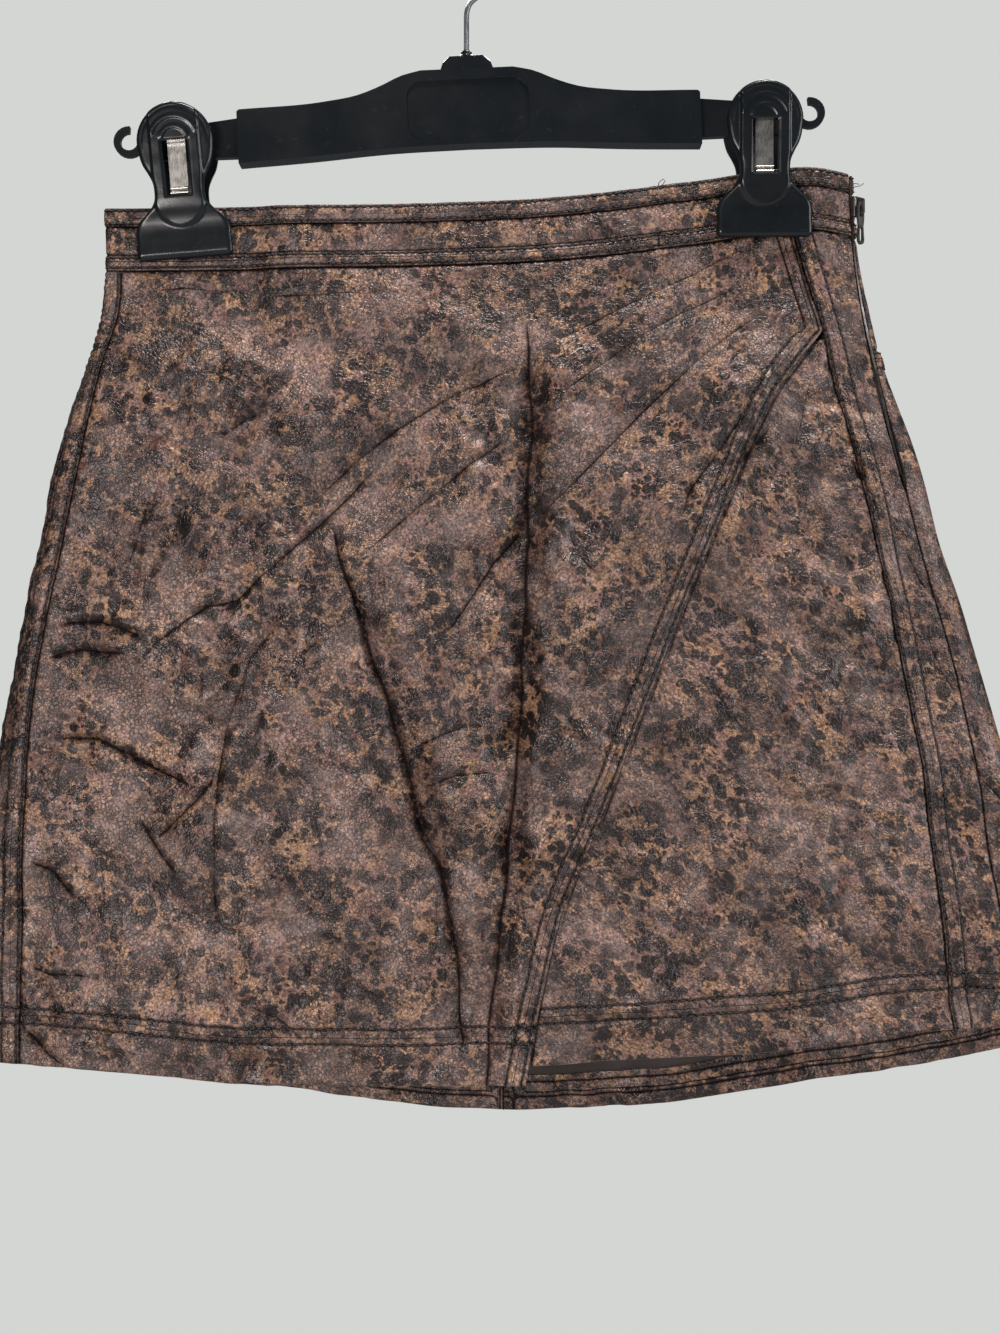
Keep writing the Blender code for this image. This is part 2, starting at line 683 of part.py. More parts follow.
def block(name, size, spec, matrix, bevel=0.0, segments=2):
    """A box with rounded edges, centred on its matrix."""
    mesh = bpy.data.meshes.new(name)
    cube = bmesh.new()
    bmesh.ops.create_cube(cube, size=1.0)
    bmesh.ops.scale(cube, vec=Vector(size) * MM, verts=cube.verts)
    cube.to_mesh(mesh)
    cube.free()
    made = add(name, mesh, spec, matrix)
    if bevel:
        soften(made, bevel, segments)
    return made


def soften(target, width, segments=2, angle=40):
    step = target.modifiers.new("edges", "BEVEL")
    step.width = width * MM
    step.segments = segments
    step.limit_method = "ANGLE"
    step.angle_limit = math.radians(angle)


UPRIGHT = Matrix(((0, 0, 1, 0), (1, 0, 0, 0), (0, 1, 0, 0), (0, 0, 0, 1)))


def make_zip():
    rows = np.linspace(0, 1, 14)
    for name, half, lift, thick, spec, low, columns in (
            ("zip_tape", ZIP_TAPE / 2, -WALL - 0.5, TAPE_WALL, TAPE, ZIP_END_Z, spread(8)),
            ("zip_chain", CHAIN / 2, -0.3, CHAIN_WALL, ZIP_METAL, ZIP_END_Z + CHAIN_SHORT, spread(1))):
        u, z = grid(beside_zip(-half), beside_zip(half), below_waist(2.0), constant(low), rows, columns)
        wall(name, u, z, lift, spec, thick)

    here = zip_frame()
    centre = Vector((SLIDER_CLEAR + SLIDER[0] / 2, 0, 0)) * MM
    block("zip_slider", SLIDER, ZIP_METAL, here @ Matrix.Translation(centre), 0.7)
    inner = BAIL_REACH - 0.65
    half = BAIL_HALF - 1.3
    foot = SLIDER_CLEAR + SLIDER[0] - 0.4
    bail = ([(foot, -BAIL_HALF)] + arc(foot + BAIL_REACH - 0.8, -BAIL_HALF + 1.2, 1.2, 270, 360, 3)
            + arc(foot + BAIL_REACH - 0.8, BAIL_HALF - 1.2, 1.2, 0, 90, 3)
            + [(foot, BAIL_HALF), (foot, half), (foot + inner, half), (foot + inner, -half),
               (foot, -half)])
    # The outline is drawn out-of-cloth against up, so it turns to stand across the zip.
    stand = Matrix.Rotation(math.pi / 2, 4, "X")
    arch = flat_curve("bail", [bail], BAIL_WIDTH, None)
    union = cutter("bail_join", arch, here @ stand)
    cut(bpy.data.objects["zip_slider"], union, "UNION")

    hinge = here @ Matrix.Translation(Vector((PULL_OUT, 0, 0)) * MM)
    low = 0.5 - PULL_LENGTH
    shoulder = [(PULL_WAIST, -8.5), (PULL_HALF, -5.2), (PULL_HALF, -0.2), (PULL_HALF - 0.3, 0.5)]
    outline = (arc(0, low + PULL_HALF, PULL_HALF, 180, 360, 8) + shoulder
               + [(-x, z) for x, z in reversed(shoulder)])
    eye = rounded_box(*PULL_EYE, 0.4)
    half, foot, head = PULL_LOOP
    loop = rounded_box(half, low + foot, low + head, 1.1)
    flat_curve("zip_pull", [outline, eye, loop], PULL_THICK, hinge @ UPRIGHT, ZIP_METAL)


# ---------------------------------------------------------------- hanger
def tilted(x=0.0, z=0.0):
    """The bar's own axes, turned a little about the hook's foot."""
    return (Matrix.Translation(Vector((0, 0, PIVOT_Z)) * MM) @ Matrix.Rotation(-TILT, 4, "Y")
            @ Matrix.Translation(Vector((x, 0, z)) * MM))


FACE_ON = Matrix.Rotation(math.pi / 2, 4, "X")


def bar_edge(spots):
    """Half of one edge of the bar, from its middle outwards, as a smooth curve."""
    start, end = spots[0].x, spots[-1].x
    count = math.ceil((end - start) / BAR_STEP)
    across = [start + (end - start) * i / count for i in range(count + 1)]
    return [(x, smooth(spots, "x", "z", x)) for x in across]


def make_bar():
    top, foot = bar_edge(BAR_TOP), bar_edge(BAR_FOOT)
    corner = [(BAR_HALF, BAR_TOP[-1].z - 0.8)]
    right = top + corner + foot[::-1]
    outline = right + [(-x, z) for x, z in right[-2::-1]]
    bar = flat_curve("hanger_bar", [outline], BAR_DEPTH, tilted() @ FACE_ON, PLASTIC)
    soften(bar, 1.8, 3, 30)
    plate = flat_curve("recess", [rounded_box(*RECESS, 5)], RECESS_CUT, None)
    spot = tilted() @ Matrix.Translation(Vector((0, -BAR_DEPTH / 2, 0)) * MM) @ FACE_ON
    cut(bar, cutter("label_recess", plate, spot))


def make_arms():
    """Narrow arms carry the clips, and end in open notch hooks for loops."""
    start, end = NOTCH_TURN
    notch = arc(*NOTCH, NOTCH_R, start, end, 16) + arc(*NOTCH, NOTCH_R - NOTCH_WIRE, end, start, 12)
    for side, sign in (("left", -1), ("right", 1)):
        arm = [(sign * x, z) for x, z in ARM]
        ring = [(sign * x, z) for x, z in notch]
        made = flat_curve("hanger_arm_" + side, [arm], ARM_WALL, tilted() @ FACE_ON, PLASTIC)
        hook = flat_curve("notch", [ring], NOTCH_WALL, None)
        cut(made, cutter("notch_" + side, hook, tilted() @ FACE_ON), "UNION")


def lathe(name, profile, spec, matrix, steps=24):
    """A turned piece: radius and height, from the top down its outer side."""
    mesh = bpy.data.meshes.new(name)
    points = [(r * MM, 0, z * MM) for r, z in profile]
    mesh.from_pydata(points, [(i, i + 1) for i in range(len(points) - 1)], [])
    made = add(name, mesh, spec, matrix)
    turn = made.modifiers.new("turn", "SCREW")
    turn.steps = turn.render_steps = steps
    turn.use_merge_vertices = True
    turn.merge_threshold = 1e-5
    return made


def make_collar_and_hook():
    made = flat_curve("hanger_collar", [COLLAR], COLLAR_WALL, tilted() @ FACE_ON, PLASTIC)
    soften(made, 0.8, 2, 30)
    lathe("hook_nut", NUT, PLASTIC, Matrix.Translation(Vector((0, 0, PIVOT_Z)) * MM), 16)

    centre = -CROOK + WIRE / 2
    crook = arc(0, centre, CROOK, *HOOK_TURN, 24)
    bend = [Vector(spot) for spot in SHANK] + [Vector(crook[0])]
    path = [(0, PIVOT_Z + SHANK_FOOT)]
    for i in range(8):
        f = i / 8
        path.append(bend[0] * (1 - f) ** 3 + bend[1] * 3 * f * (1 - f) ** 2
                    + bend[2] * 3 * f * f * (1 - f) + bend[3] * f ** 3)
    path += crook
    data = bpy.data.curves.new("hanger_hook", "CURVE")
    data.dimensions = "3D"
    data.bevel_depth = WIRE / 2 * MM
    data.bevel_resolution = 2
    data.use_fill_caps = True
    spline = data.splines.new("POLY")
    spline.points.add(len(path) - 1)
    for point, (x, z) in zip(spline.points, path):
        point.co = (x * MM, 0, z * MM, 1)
    add("hanger_hook", data, STEEL)


def clip_ribs():
    """The jaw's rows, then the round head's."""
    rows = list(JAW)
    for degrees in (-38, -20, 0, 20, 38, 54, 68, 80):
        a = math.radians(degrees)
        z = HEAD_Z + HEAD_R * math.sin(a)
        rows.append(Rib(z, HEAD_R * math.cos(a), 7.0 + 3.0 * (z - 34.0) / 32.0))
    return rows


def plate_mesh(name, sign):
    """A loft of flat bars: the clip's front (-1) or back (+1) plate."""
    points, faces = [], []
    rows = clip_ribs()
    for rib in rows:
        near, far = sign * rib.inner, sign * (rib.inner + PLATE)
        points += [(-rib.half, near, rib.z), (rib.half, near, rib.z),
                   (rib.half, far, rib.z), (-rib.half, far, rib.z)]
    for i in range(len(rows) - 1):
        for k in range(4):
            a, b = 4 * i + k, 4 * i + (k + 1) % 4
            faces.append((a, b, b + 4, a + 4))
    top = 4 * (len(rows) - 1)
    faces += [(3, 2, 1, 0), (top, top + 1, top + 2, top + 3)]
    mesh = bpy.data.meshes.new(name)
    mesh.from_pydata([(x * MM, y * MM, z * MM) for x, y, z in points], [], faces)
    shell = bmesh.new()
    shell.from_mesh(mesh)
    bmesh.ops.recalc_face_normals(shell, faces=shell.faces)
    shell.to_mesh(mesh)
    shell.free()
    return mesh


def strap_outline():
    """A bent strap of spring steel, seen from the side: down the front, over, down the back."""
    outer = [(-6.2, 29.0), (-STRAP_R, STRAP_Z)] + arc(0, STRAP_Z, STRAP_R, 180, 0, 10)[1:]
    inner = [(5.5, 29.0)] + arc(0, STRAP_Z, STRAP_R - STRAP, 0, 180, 10)
    return outer + [(6.2, 29.0)] + inner + [(-5.5, 29.0)]


def make_clips():
    for clip in CLIPS:
        place = (Matrix.Translation(Vector((clip.x, 0, clip.z)) * MM)
                 @ Matrix.Rotation(-math.radians(clip.lean), 4, "Y"))
        half, low, high = WINDOW
        window = flat_curve("window", [rounded_box(half, low, high, 2.0, 3)], 40.0, None)
        opening = cutter("window_" + clip.side, window, place @ FACE_ON)
        for face, sign in (("front", -1), ("back", 1)):
            name = "clip_" + face + "_" + clip.side
            made = add(name, plate_mesh(name, sign), PLASTIC, place)
            cut(made, opening)
        side_on = Matrix.Rotation(math.pi / 2, 4, "Z") @ FACE_ON
        spring = flat_curve("clip_spring_" + clip.side, [strap_outline()], 2 * STRAP_HALF,
                            place @ side_on, STEEL)
        spring.data.shade_smooth()
        spring.data.set_sharp_from_angle(angle=math.radians(40))


def main():
    clear_scene()
    collection("leather_mini_skirt")
    collection("cutters")
    make_band()
    make_panels()
    make_zip()
    make_bar()
    make_arms()
    make_collar_and_hook()
    make_clips()


main()
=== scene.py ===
"""Looks of the mock-wrap leather mini skirt on its clip hanger.

Tables and sizes are in millimetres in the part's own frame: the origin is the inside top
of the hook, +Z is up and the front faces -Y.  A place on the skirt is a fraction u round
it (0 the left fold, along the front, 0.5 the right fold, along the back) and a height z.
"""

import math
from collections import namedtuple
from functools import reduce

import bmesh
import bpy
import numpy as np
from mathutils import Matrix, Vector


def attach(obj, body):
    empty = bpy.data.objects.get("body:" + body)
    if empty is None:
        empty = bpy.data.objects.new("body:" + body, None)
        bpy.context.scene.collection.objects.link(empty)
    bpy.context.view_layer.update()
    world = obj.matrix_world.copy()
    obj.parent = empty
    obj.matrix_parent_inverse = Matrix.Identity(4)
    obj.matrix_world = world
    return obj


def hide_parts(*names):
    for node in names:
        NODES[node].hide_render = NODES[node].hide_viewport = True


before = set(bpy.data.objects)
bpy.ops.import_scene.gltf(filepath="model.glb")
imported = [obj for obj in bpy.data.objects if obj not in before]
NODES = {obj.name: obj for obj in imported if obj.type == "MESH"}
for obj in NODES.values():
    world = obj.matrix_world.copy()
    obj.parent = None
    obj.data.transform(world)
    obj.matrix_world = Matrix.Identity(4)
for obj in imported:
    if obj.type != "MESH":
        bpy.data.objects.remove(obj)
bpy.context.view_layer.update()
MM = 0.001
GARMENT = "garment"

# ---------------------------------------------------------------- the skirt's sizes
WALL = 1.2
SEAM_GAP = 0.1
FOOT_GAP = 0.1
BAND_TOP = 8.0
BAND_MID = 20.3
BAND_FOOT = 27.2
TOP_PROUD = 0.6
LOW_PROUD = 0.4
CB_SEAM_X = 16.0
YOKE_Z = -182.0
YOKE_DIP = 12.0
LOW_JOIN_X = 83.0
LAP = 12.0
LAP_RAMP = 16.0
LAP_LIFT = 2.2
LAP_FREE = 2.0
LAP_FREE_Z = -425.0
APEX_Z = -174.6
ZIP_END_Z = -247.0
ZIP_SLIT = 2.8
PRESSED = 1.6
GRIP_HALF = 35.0
GRIP_EDGE = 7.0
GRIP_FADE = (-152.0, -205.0)

Section = namedtuple("Section", "z left right bulge radius")
SECTIONS = (
    Section(-100, -157.5, 167.5, 2.0, 4.5),
    Section(-122, -157.5, 168.5, 2.5, 4.5),
    Section(-150, -157.0, 171.5, 4.5, 5.0),
    Section(-170, -159.5, 176.0, 7.0, 5.8),
    Section(-205, -170.0, 187.0, 9.5, 7.2),
    Section(-250, -181.5, 201.5, 11.5, 9.0),
    Section(-300, -192.0, 216.5, 13.0, 10.5),
    Section(-350, -201.0, 232.0, 14.0, 11.5),
    Section(-420, -210.0, 251.0, 15.0, 12.5),
    Section(-520, -219.0, 277.0, 16.0, 13.5),
)
Edge = namedtuple("Edge", "x z")
WAIST = (
    Edge(-158, -121.2), Edge(-94, -120.4), Edge(-20, -119.8), Edge(40, -117.0),
    Edge(75, -113.1), Edge(105, -108.4), Edge(129, -104.8), Edge(153, -103.2),
    Edge(168, -106.8),
)
HEM_WRAP = (
    Edge(-218, -489.5), Edge(-170, -491.8), Edge(-92, -497.2), Edge(-30, -497.6),
    Edge(28, -496.4),
)
HEM_UNDER = (
    Edge(20, -489.4), Edge(90, -485.6), Edge(150, -481.4), Edge(209, -475.6),
    Edge(240, -475.4), Edge(270, -479.0),
)
HEM_BACK = (
    Edge(-218, -489.5), Edge(-170, -497.5), Edge(-78, -508.0), Edge(-36, -515.2),
    Edge(16, -518.4), Edge(60, -516.8), Edge(108, -511.2), Edge(160, -503.1),
    Edge(205, -494.6), Edge(244, -486.0), Edge(270, -479.0),
)
Stop = namedtuple("Stop", "z x")
SEAM_LEFT = (
    Stop(-140, -150.0), Stop(-165, -150.8), Stop(-190, -158.0), Stop(-235, -167.7),
    Stop(-275, -175.9), Stop(-334, -186.4), Stop(-378, -189.4), Stop(-444, -191.8),
    Stop(-492, -191.6),
)
SEAM_RIGHT = (
    Stop(-130, 141.6), Stop(-166, 152.2), Stop(-205, 161.7), Stop(-247, 172.0),
    Stop(-299, 183.6), Stop(-358, 194.8), Stop(-411, 202.1), Stop(-478, 209.2),
)
WRAP_EDGE = (
    Stop(-174.6, 154.4), Stop(-198, 136.3), Stop(-247, 113.1), Stop(-316, 84.7),
    Stop(-382, 58.5), Stop(-428, 40.0), Stop(-456, 33.1), Stop(-498, 25.2),
)
ZIP_SEAM = (
    Stop(-100, 2.8), Stop(-150, 4.5), Stop(-182, 8.0), Stop(-216, 12.5), Stop(-255, 16.0),
    Stop(-322, 19.0), Stop(-388, 26.0), Stop(-430, 31.0), Stop(-480, 35.0),
)
Clip = namedtuple("Clip", "side x z lean")
CLIPS = (Clip("left", -121.5, -143.0, 4.6), Clip("right", 129.2, -133.8, 0.4))

# The largest folds, as the solids have them: how far out (+) or in (-), half width, path.
Fold = namedtuple("Fold", "side out width path")
FOLDS = (
    Fold(-1, -3.6, 9.0, ((-58, -262), (-45, -297), (-27, -356), (-12, -404), (-1, -472))),
    Fold(-1, 2.6, 12.0, ((-38, -262), (-24, -300), (-6, -356), (5, -404), (11, -450))),
    Fold(-1, -2.0, 10.0, ((26, -162), (28, -210), (25, -290), (19, -404), (9, -500))),
    Fold(-1, 2.6, 13.0, ((42, -170), (42, -220), (40, -290), (32, -380))),
    Fold(-1, -2.2, 9.0, ((-26, -320), (4, -290), (23, -264), (64, -223), (98, -190), (133, -164))),
    Fold(-1, -1.8, 9.0, ((-71, -253), (-30, -220), (1, -201), (28, -190))),
    Fold(-1, 3.4, 26.0, ((-110, -300), (-104, -400), (-98, -500))),
    Fold(-1, 3.0, 24.0, ((120, -330), (128, -400), (132, -490))),
    Fold(1, -4.0, 16.0, ((-70, -300), (-92, -400), (-104, -510))),
    Fold(1, 4.5, 20.0, ((-20, -290), (-34, -400), (-40, -520))),
    Fold(1, -4.0, 16.0, ((74, -290), (84, -400), (92, -515))),
    Fold(1, 3.5, 20.0, ((130, -300), (146, -400), (158, -505))),
    Fold(1, -2.2, 10.0, ((-108, -170), (-60, -210), (-20, -262))),
    Fold(1, -2.2, 10.0, ((112, -160), (80, -206), (52, -262))),
)

# Creases laid on those: depth of the trough, its half width, the lip on its left as the
# path runs (negative: on its right), and the path.
Crease = namedtuple("Crease", "side depth width lip path")
CREASES = (
    # under the waistband
    Crease(-1, 0.7, 1.4, 0.25, ((-147, -157), (-123, -156), (-101, -157), (-89, -160),
                               (-49, -159), (-21, -159))),
    # drag lines fanning down from the right clip
    Crease(-1, 0.75, 1.2, 0.12, ((29, -186), (47, -176), (71, -163), (91, -154), (121, -138))),
    Crease(-1, 0.75, 1.2, 0.12, ((32, -210), (52, -195), (71, -181), (92, -168), (133, -148))),
    Crease(-1, 0.9, 1.3, 0.15, ((-26, -319), (-6, -303), (4, -289), (12, -276), (23, -264),
                               (40, -248), (64, -223), (81, -206), (98, -190), (116, -175),
                               (144, -157))),
    Crease(-1, 0.9, 1.3, 0.15, ((-71, -253), (-62, -246), (-49, -234), (-30, -219), (-11, -207),
                               (1, -201), (28, -190))),
    Crease(-1, 1.1, 1.4, 0.3, ((-31, -229), (-37, -232), (-58, -255), (-71, -267), (-87, -281),
                               (-98, -292), (-111, -294), (-126, -305), (-147, -324))),
    Crease(-1, 0.8, 1.3, 0.15, ((-48, -277), (-32, -262), (-10, -244), (2, -234), (25, -218))),
    # the long deep crease down the middle of the wrap
    Crease(-1, 3.2, 1.9, -1.0, ((-60, -252), (-52, -279), (-45, -297), (-39, -317), (-32, -342),
                                (-27, -356), (-22, -377), (-12, -404), (-6, -429), (-1, -478))),
    # the upright fold, in from the left and out on the right
    Crease(-1, 5.0, 5.5, -3.2, ((9, -500), (10, -472), (15, -433), (18, -404), (22, -353),
                               (25, -289), (28, -210), (27, -187), (25, -161))),
    Crease(-1, 0.8, 1.4, 0.6, ((-76, -295), (-81, -302), (-92, -317), (-98, -335), (-103, -349),
                               (-107, -387), (-106, -406), (-108, -438))),
    # puckers along the left seam
    Crease(-1, 2.0, 1.9, 1.4, ((-178, -351), (-157, -351), (-148, -356), (-135, -362),
                               (-116, -372))),
    Crease(-1, 1.4, 1.7, 0.9, ((-140, -385), (-132, -396), (-123, -409))),
    Crease(-1, 1.4, 1.9, 0.9, ((-134, -396), (-123, -385), (-113, -375), (-103, -363))),
    Crease(-1, 1.4, 1.7, 0.9, ((-188, -404), (-178, -407), (-168, -421))),
    Crease(-1, 1.2, 1.9, 0.8, ((-190, -448), (-178, -452), (-160, -453))),
    Crease(-1, 1.8, 2.0, 1.4, ((-182, -317), (-166, -313), (-145, -315))),
    Crease(-1, 1.7, 2.0, 1.2, ((-176, -302), (-157, -300), (-138, -308))),
    Crease(-1, 1.4, 2.9, 0.8, ((-135, -243), (-141, -262), (-146, -278))),
    Crease(-1, 1.4, 2.9, 0.8, ((-108, -221), (-98, -216), (-86, -209))),
    Crease(-1, 1.4, 1.7, 0.9, ((-190, -474), (-182, -482), (-172, -491))),
    Crease(-1, 1.2, 2.2, 0.8, ((-24, -355), (-10, -349), (6, -343))),
    Crease(-1, 1.0, 2.0, 0.8, ((-20, -372), (-4, -366), (14, -364))),
    Crease(-1, 1.2, 2.5, 0.8, ((-92, -462), (-78, -470), (-66, -482))),
    Crease(-1, 1.2, 2.7, 0.8, ((44, -262), (50, -276), (60, -286))),
    # the under panel and the right side
    Crease(-1, 1.6, 2.6, 1.3, ((124, -206), (112, -222), (96, -245), (90, -262))),
    Crease(-1, 1.4, 2.6, 1.3, ((134, -213), (122, -228), (104, -250))),
    Crease(-1, 1.0, 2.4, 0.8, ((149, -196), (146, -212), (140, -228))),
    Crease(-1, 1.3, 6.0, 0.8, ((116, -375), (94, -404), (78, -420))),
    Crease(-1, 1.0, 4.0, 0.7, ((126, -250), (138, -264), (152, -272))),
    Crease(-1, 1.0, 3.4, 0.7, ((136, -290), (146, -304), (152, -318))),
    Crease(-1, 1.2, 4.5, 0.7, ((104, -334), (120, -346), (142, -352))),
    Crease(-1, 1.2, 5.0, 0.7, ((120, -436), (138, -428), (160, -424))),
    Crease(-1, 1.2, 2.4, 0.8, ((166, -228), (174, -246), (178, -262))),
    Crease(-1, 1.2, 2.2, 0.8, ((190, -268), (196, -284), (206, -296))),
    Crease(-1, 1.0, 2.2, 0.8, ((198, -306), (205, -322), (212, -334))),
    Crease(-1, 1.2, 2.2, 0.8, ((216, -352), (220, -368), (232, -380))),
    # the back: drag lines from the clips, and soft hanging creases
    Crease(1, 1.1, 2.0, 0.7, ((-112, -160), (-86, -178), (-58, -204), (-30, -240), (-16, -262))),
    Crease(1, 1.0, 2.0, 0.7, ((-98, -152), (-64, -168), (-34, -190), (-12, -204))),
    Crease(1, 1.1, 2.0, 0.7, ((118, -152), (92, -176), (70, -204), (50, -246), (44, -270))),
    Crease(1, 1.0, 2.0, 0.7, ((104, -142), (78, -160), (56, -176), (34, -186))),
    Crease(1, 1.3, 3.0, 0.9, ((-62, -296), (-78, -350), (-92, -410), (-100, -470))),
    Crease(1, 1.3, 3.0, 0.9, ((66, -300), (76, -352), (86, -420), (94, -492))),
    Crease(1, 1.0, 2.4, 0.8, ((150, -236), (128, -262), (110, -300), (104, -330))),
    Crease(1, 1.0, 2.4, 0.8, ((-150, -230), (-132, -262), (-120, -300))),
    Crease(1, 1.0, 2.2, 0.7, ((196, -300), (176, -304), (160, -316), (150, -334))),
    Crease(1, 1.0, 2.2, 0.7, ((214, -356), (196, -364), (180, -384))),
    Crease(1, 0.9, 2.2, 0.7, ((-176, -330), (-158, -336), (-146, -352))),
    Crease(1, 0.9, 2.4, 0.7, ((-188, -410), (-168, -412), (-150, -424))),
    Crease(1, 0.9, 2.6, 0.6, ((20, -330), (4, -352), (-6, -384), (-4, -410))),
    Crease(1, 0.9, 2.6, 0.6, ((150, -430), (136, -448), (130, -470))),
    Crease(1, 0.9, 2.2, 0.6, ((30, -440), (44, -456), (50, -478))),
    Crease(1, 0.9, 2.2, 0.6, ((-60, -440), (-48, -462), (-44, -486))),
)

# ---------------------------------------------------------------- the skirt's surface
def smooth(rows, key, value, at):
    """Cubic through a table's rows, level past its ends."""
    knots = np.array([getattr(row, key) for row in rows], float)
    heights = np.array([getattr(row, value) for row in rows], float)
    if knots[0] > knots[-1]:
        knots, heights = knots[::-1], heights[::-1]
    slopes = np.gradient(heights, knots)
    at = np.clip(at, knots[0], knots[-1])
    i = np.clip(np.searchsorted(knots, at) - 1, 0, len(knots) - 2)
    span = knots[i + 1] - knots[i]
    f = (at - knots[i]) / span
    return (heights[i] * (1 + 2 * f) * (1 - f) ** 2 + heights[i + 1] * f * f * (3 - 2 * f)
            + span * (slopes[i] * f * (1 - f) ** 2 - slopes[i + 1] * f * f * (1 - f)))


def ease(value):
    """0 to 1 with level ends."""
    f = np.clip(value, 0.0, 1.0)
    return f * f * (3 - 2 * f)


def frame_at(z):
    """Left fold, right fold, middle's bulge, fold radius and girth at height z."""
    left, right, bulge, radius = (smooth(SECTIONS, "z", column, z)
                                  for column in ("left", "right", "bulge", "radius"))
    girth = 2 * (right - left - 2 * radius) + 2 * math.pi * radius
    return left, right, bulge, radius, girth


def path_distance(x, z, path):
    """Distance to a path, 0 to 1 along it, and the side of it a place is on."""
    best = np.full(np.shape(x), 1e9)
    along = np.zeros(np.shape(x))
    hand = np.zeros(np.shape(x))
    points = np.array(path, float)
    lengths = np.hypot(*np.diff(points, axis=0).T)
    for i, length in enumerate(lengths):
        (ax, az), (bx, bz) = points[i], points[i + 1]
        f = np.clip(((x - ax) * (bx - ax) + (z - az) * (bz - az)) / length ** 2, 0, 1)
        gap = np.hypot(x - ax - f * (bx - ax), z - az - f * (bz - az))
        here = (lengths[:i].sum() + f * length) / lengths.sum()
        turn = np.sign((bx - ax) * (z - az) - (bz - az) * (x - ax))
        along = np.where(gap < best, here, along)
        hand = np.where(gap < best, turn, hand)
        best = np.minimum(best, gap)
    return best, along, hand


def fold_height(x, z, side):
    """How far the large folds move the cloth out at a place on the front or back."""
    total = np.zeros(np.shape(x))
    for fold in FOLDS:
        if fold.side == side:
            gap, along, _ = path_distance(x, z, fold.path)
            ends = ease(along * 5) * np.where(fold.path[-1][1] < -440, 1.0, ease((1 - along) * 5))
            total += fold.out * np.exp(-(gap / fold.width) ** 2) * ends
    return total


def grip(x, z):
    """1 where a clip presses the cloth, 0 away from it."""
    reach = 0.0
    for clip in CLIPS:
        reach = reach + 0.5 * (np.tanh((x - clip.x + GRIP_HALF) / GRIP_EDGE)
                               - np.tanh((x - clip.x - GRIP_HALF) / GRIP_EDGE))
    return np.clip(reach, 0, 1) * ease((z - GRIP_FADE[1]) / (GRIP_FADE[0] - GRIP_FADE[1]))


def plan(u, z):
    """x and y of the skirt's outer face at fraction u round it and height z."""
    left, right, bulge, radius, girth = frame_at(z)
    quarter = math.pi * radius / 2
    run = right - left - 2 * radius
    s = (u % 1.0) * girth
    ends = [s < quarter, s < quarter + run, s < 3 * quarter + run, s < 3 * quarter + 2 * run]
    x = np.select(ends, [
        left + radius - radius * np.cos(s / radius),
        left + radius + s - quarter,
        right - radius + radius * np.sin((s - quarter - run) / radius),
        right - radius - (s - 3 * quarter - run),
    ], left + radius - radius * np.sin((s - 3 * quarter - 2 * run) / radius))
    y = np.select(ends, [
        -radius * np.sin(s / radius), -radius,
        -radius * np.cos((s - quarter - run) / radius), radius,
    ], radius * np.cos((s - 3 * quarter - 2 * run) / radius))
    middle = np.clip(1 - ((x - left - radius - run / 2) / (run / 2)) ** 2, 0, 1)
    side = np.where(y < 0, -1, 1)
    out = bulge * middle ** 1.5
    out += np.where(y < 0, fold_height(x, z, -1), fold_height(x, z, 1)) * ease(middle * 6)
    pressed = grip(x, z)
    y = y + side * out
    return x, y * (1 - pressed) + side * PRESSED * pressed


def surface(u, z, lift):
    """Points of the skirt at u and z, moved out by lift along the cloth's normal."""
    u, z, lift = np.broadcast_arrays(np.asarray(u, float), z, lift)
    x, y = plan(u, z)
    step_u, step_z = 1e-3, 1.0
    ahead = np.stack([*plan(u + step_u, z), z], -1) - np.stack([*plan(u - step_u, z), z], -1)
    down = (np.stack([*plan(u, z - step_z), z - step_z], -1)
            - np.stack([*plan(u, z + step_z), z + step_z], -1))
    normal = np.cross(down, ahead)
    normal /= np.linalg.norm(normal, axis=-1, keepdims=True)
    return np.stack([x, y, z], -1) + normal * lift[..., None]


def front_u(x, z):
    """Fraction round the skirt of a place on its front."""
    left, right, _, radius, girth = frame_at(z)
    quarter = math.pi * radius / 2
    run = right - left - 2 * radius
    from_left = radius * np.arccos(np.clip((left + radius - x) / radius, -1, 1))
    from_right = radius * np.arcsin(np.clip((x - right + radius) / radius, 0, 1))
    s = np.where(x < left + radius, from_left,
                 np.where(x < right - radius, quarter + x - left - radius,
                          quarter + run + from_right))
    return s / girth


def back_u(x, z):
    left, right, _, radius, girth = frame_at(z)
    return (1.5 * math.pi * radius + 2 * right - left - 3 * radius - x) / girth


def waist_z(u):
    return smooth(WAIST, "x", "z", plan(u, np.full(np.shape(u), -115.0))[0])


def hem_x(u):
    return plan(u, np.full(np.shape(u), -490.0))[0]


def hem_left(u):
    """Lower edge of the wrap, and of what it joins round the left fold."""
    front = (np.asarray(u) % 1.0) < 0.5
    return np.where(front, smooth(HEM_WRAP, "x", "z", hem_x(u)),
                    smooth(HEM_BACK, "x", "z", hem_x(u)))


def hem_right(u):
    """Lower edge of the under panel, and of what it joins round the right fold."""
    front = (np.asarray(u) % 1.0) < 0.5
    return np.where(front, smooth(HEM_UNDER, "x", "z", hem_x(u)),
                    smooth(HEM_BACK, "x", "z", hem_x(u)))


def below_waist(drop):
    return lambda u: waist_z(u) - drop


def yoke_z(u):
    x = plan(u, np.full(np.shape(u), YOKE_Z))[0]
    return YOKE_Z - YOKE_DIP * np.exp(-((x - CB_SEAM_X) / 90.0) ** 2)


def below_yoke(u):
    return yoke_z(u) - SEAM_GAP


# Seams as functions that give u at height z.
def left_seam(z):
    return front_u(smooth(SEAM_LEFT, "z", "x", z), z)


def right_seam(z):
    return front_u(smooth(SEAM_RIGHT, "z", "x", z), z)


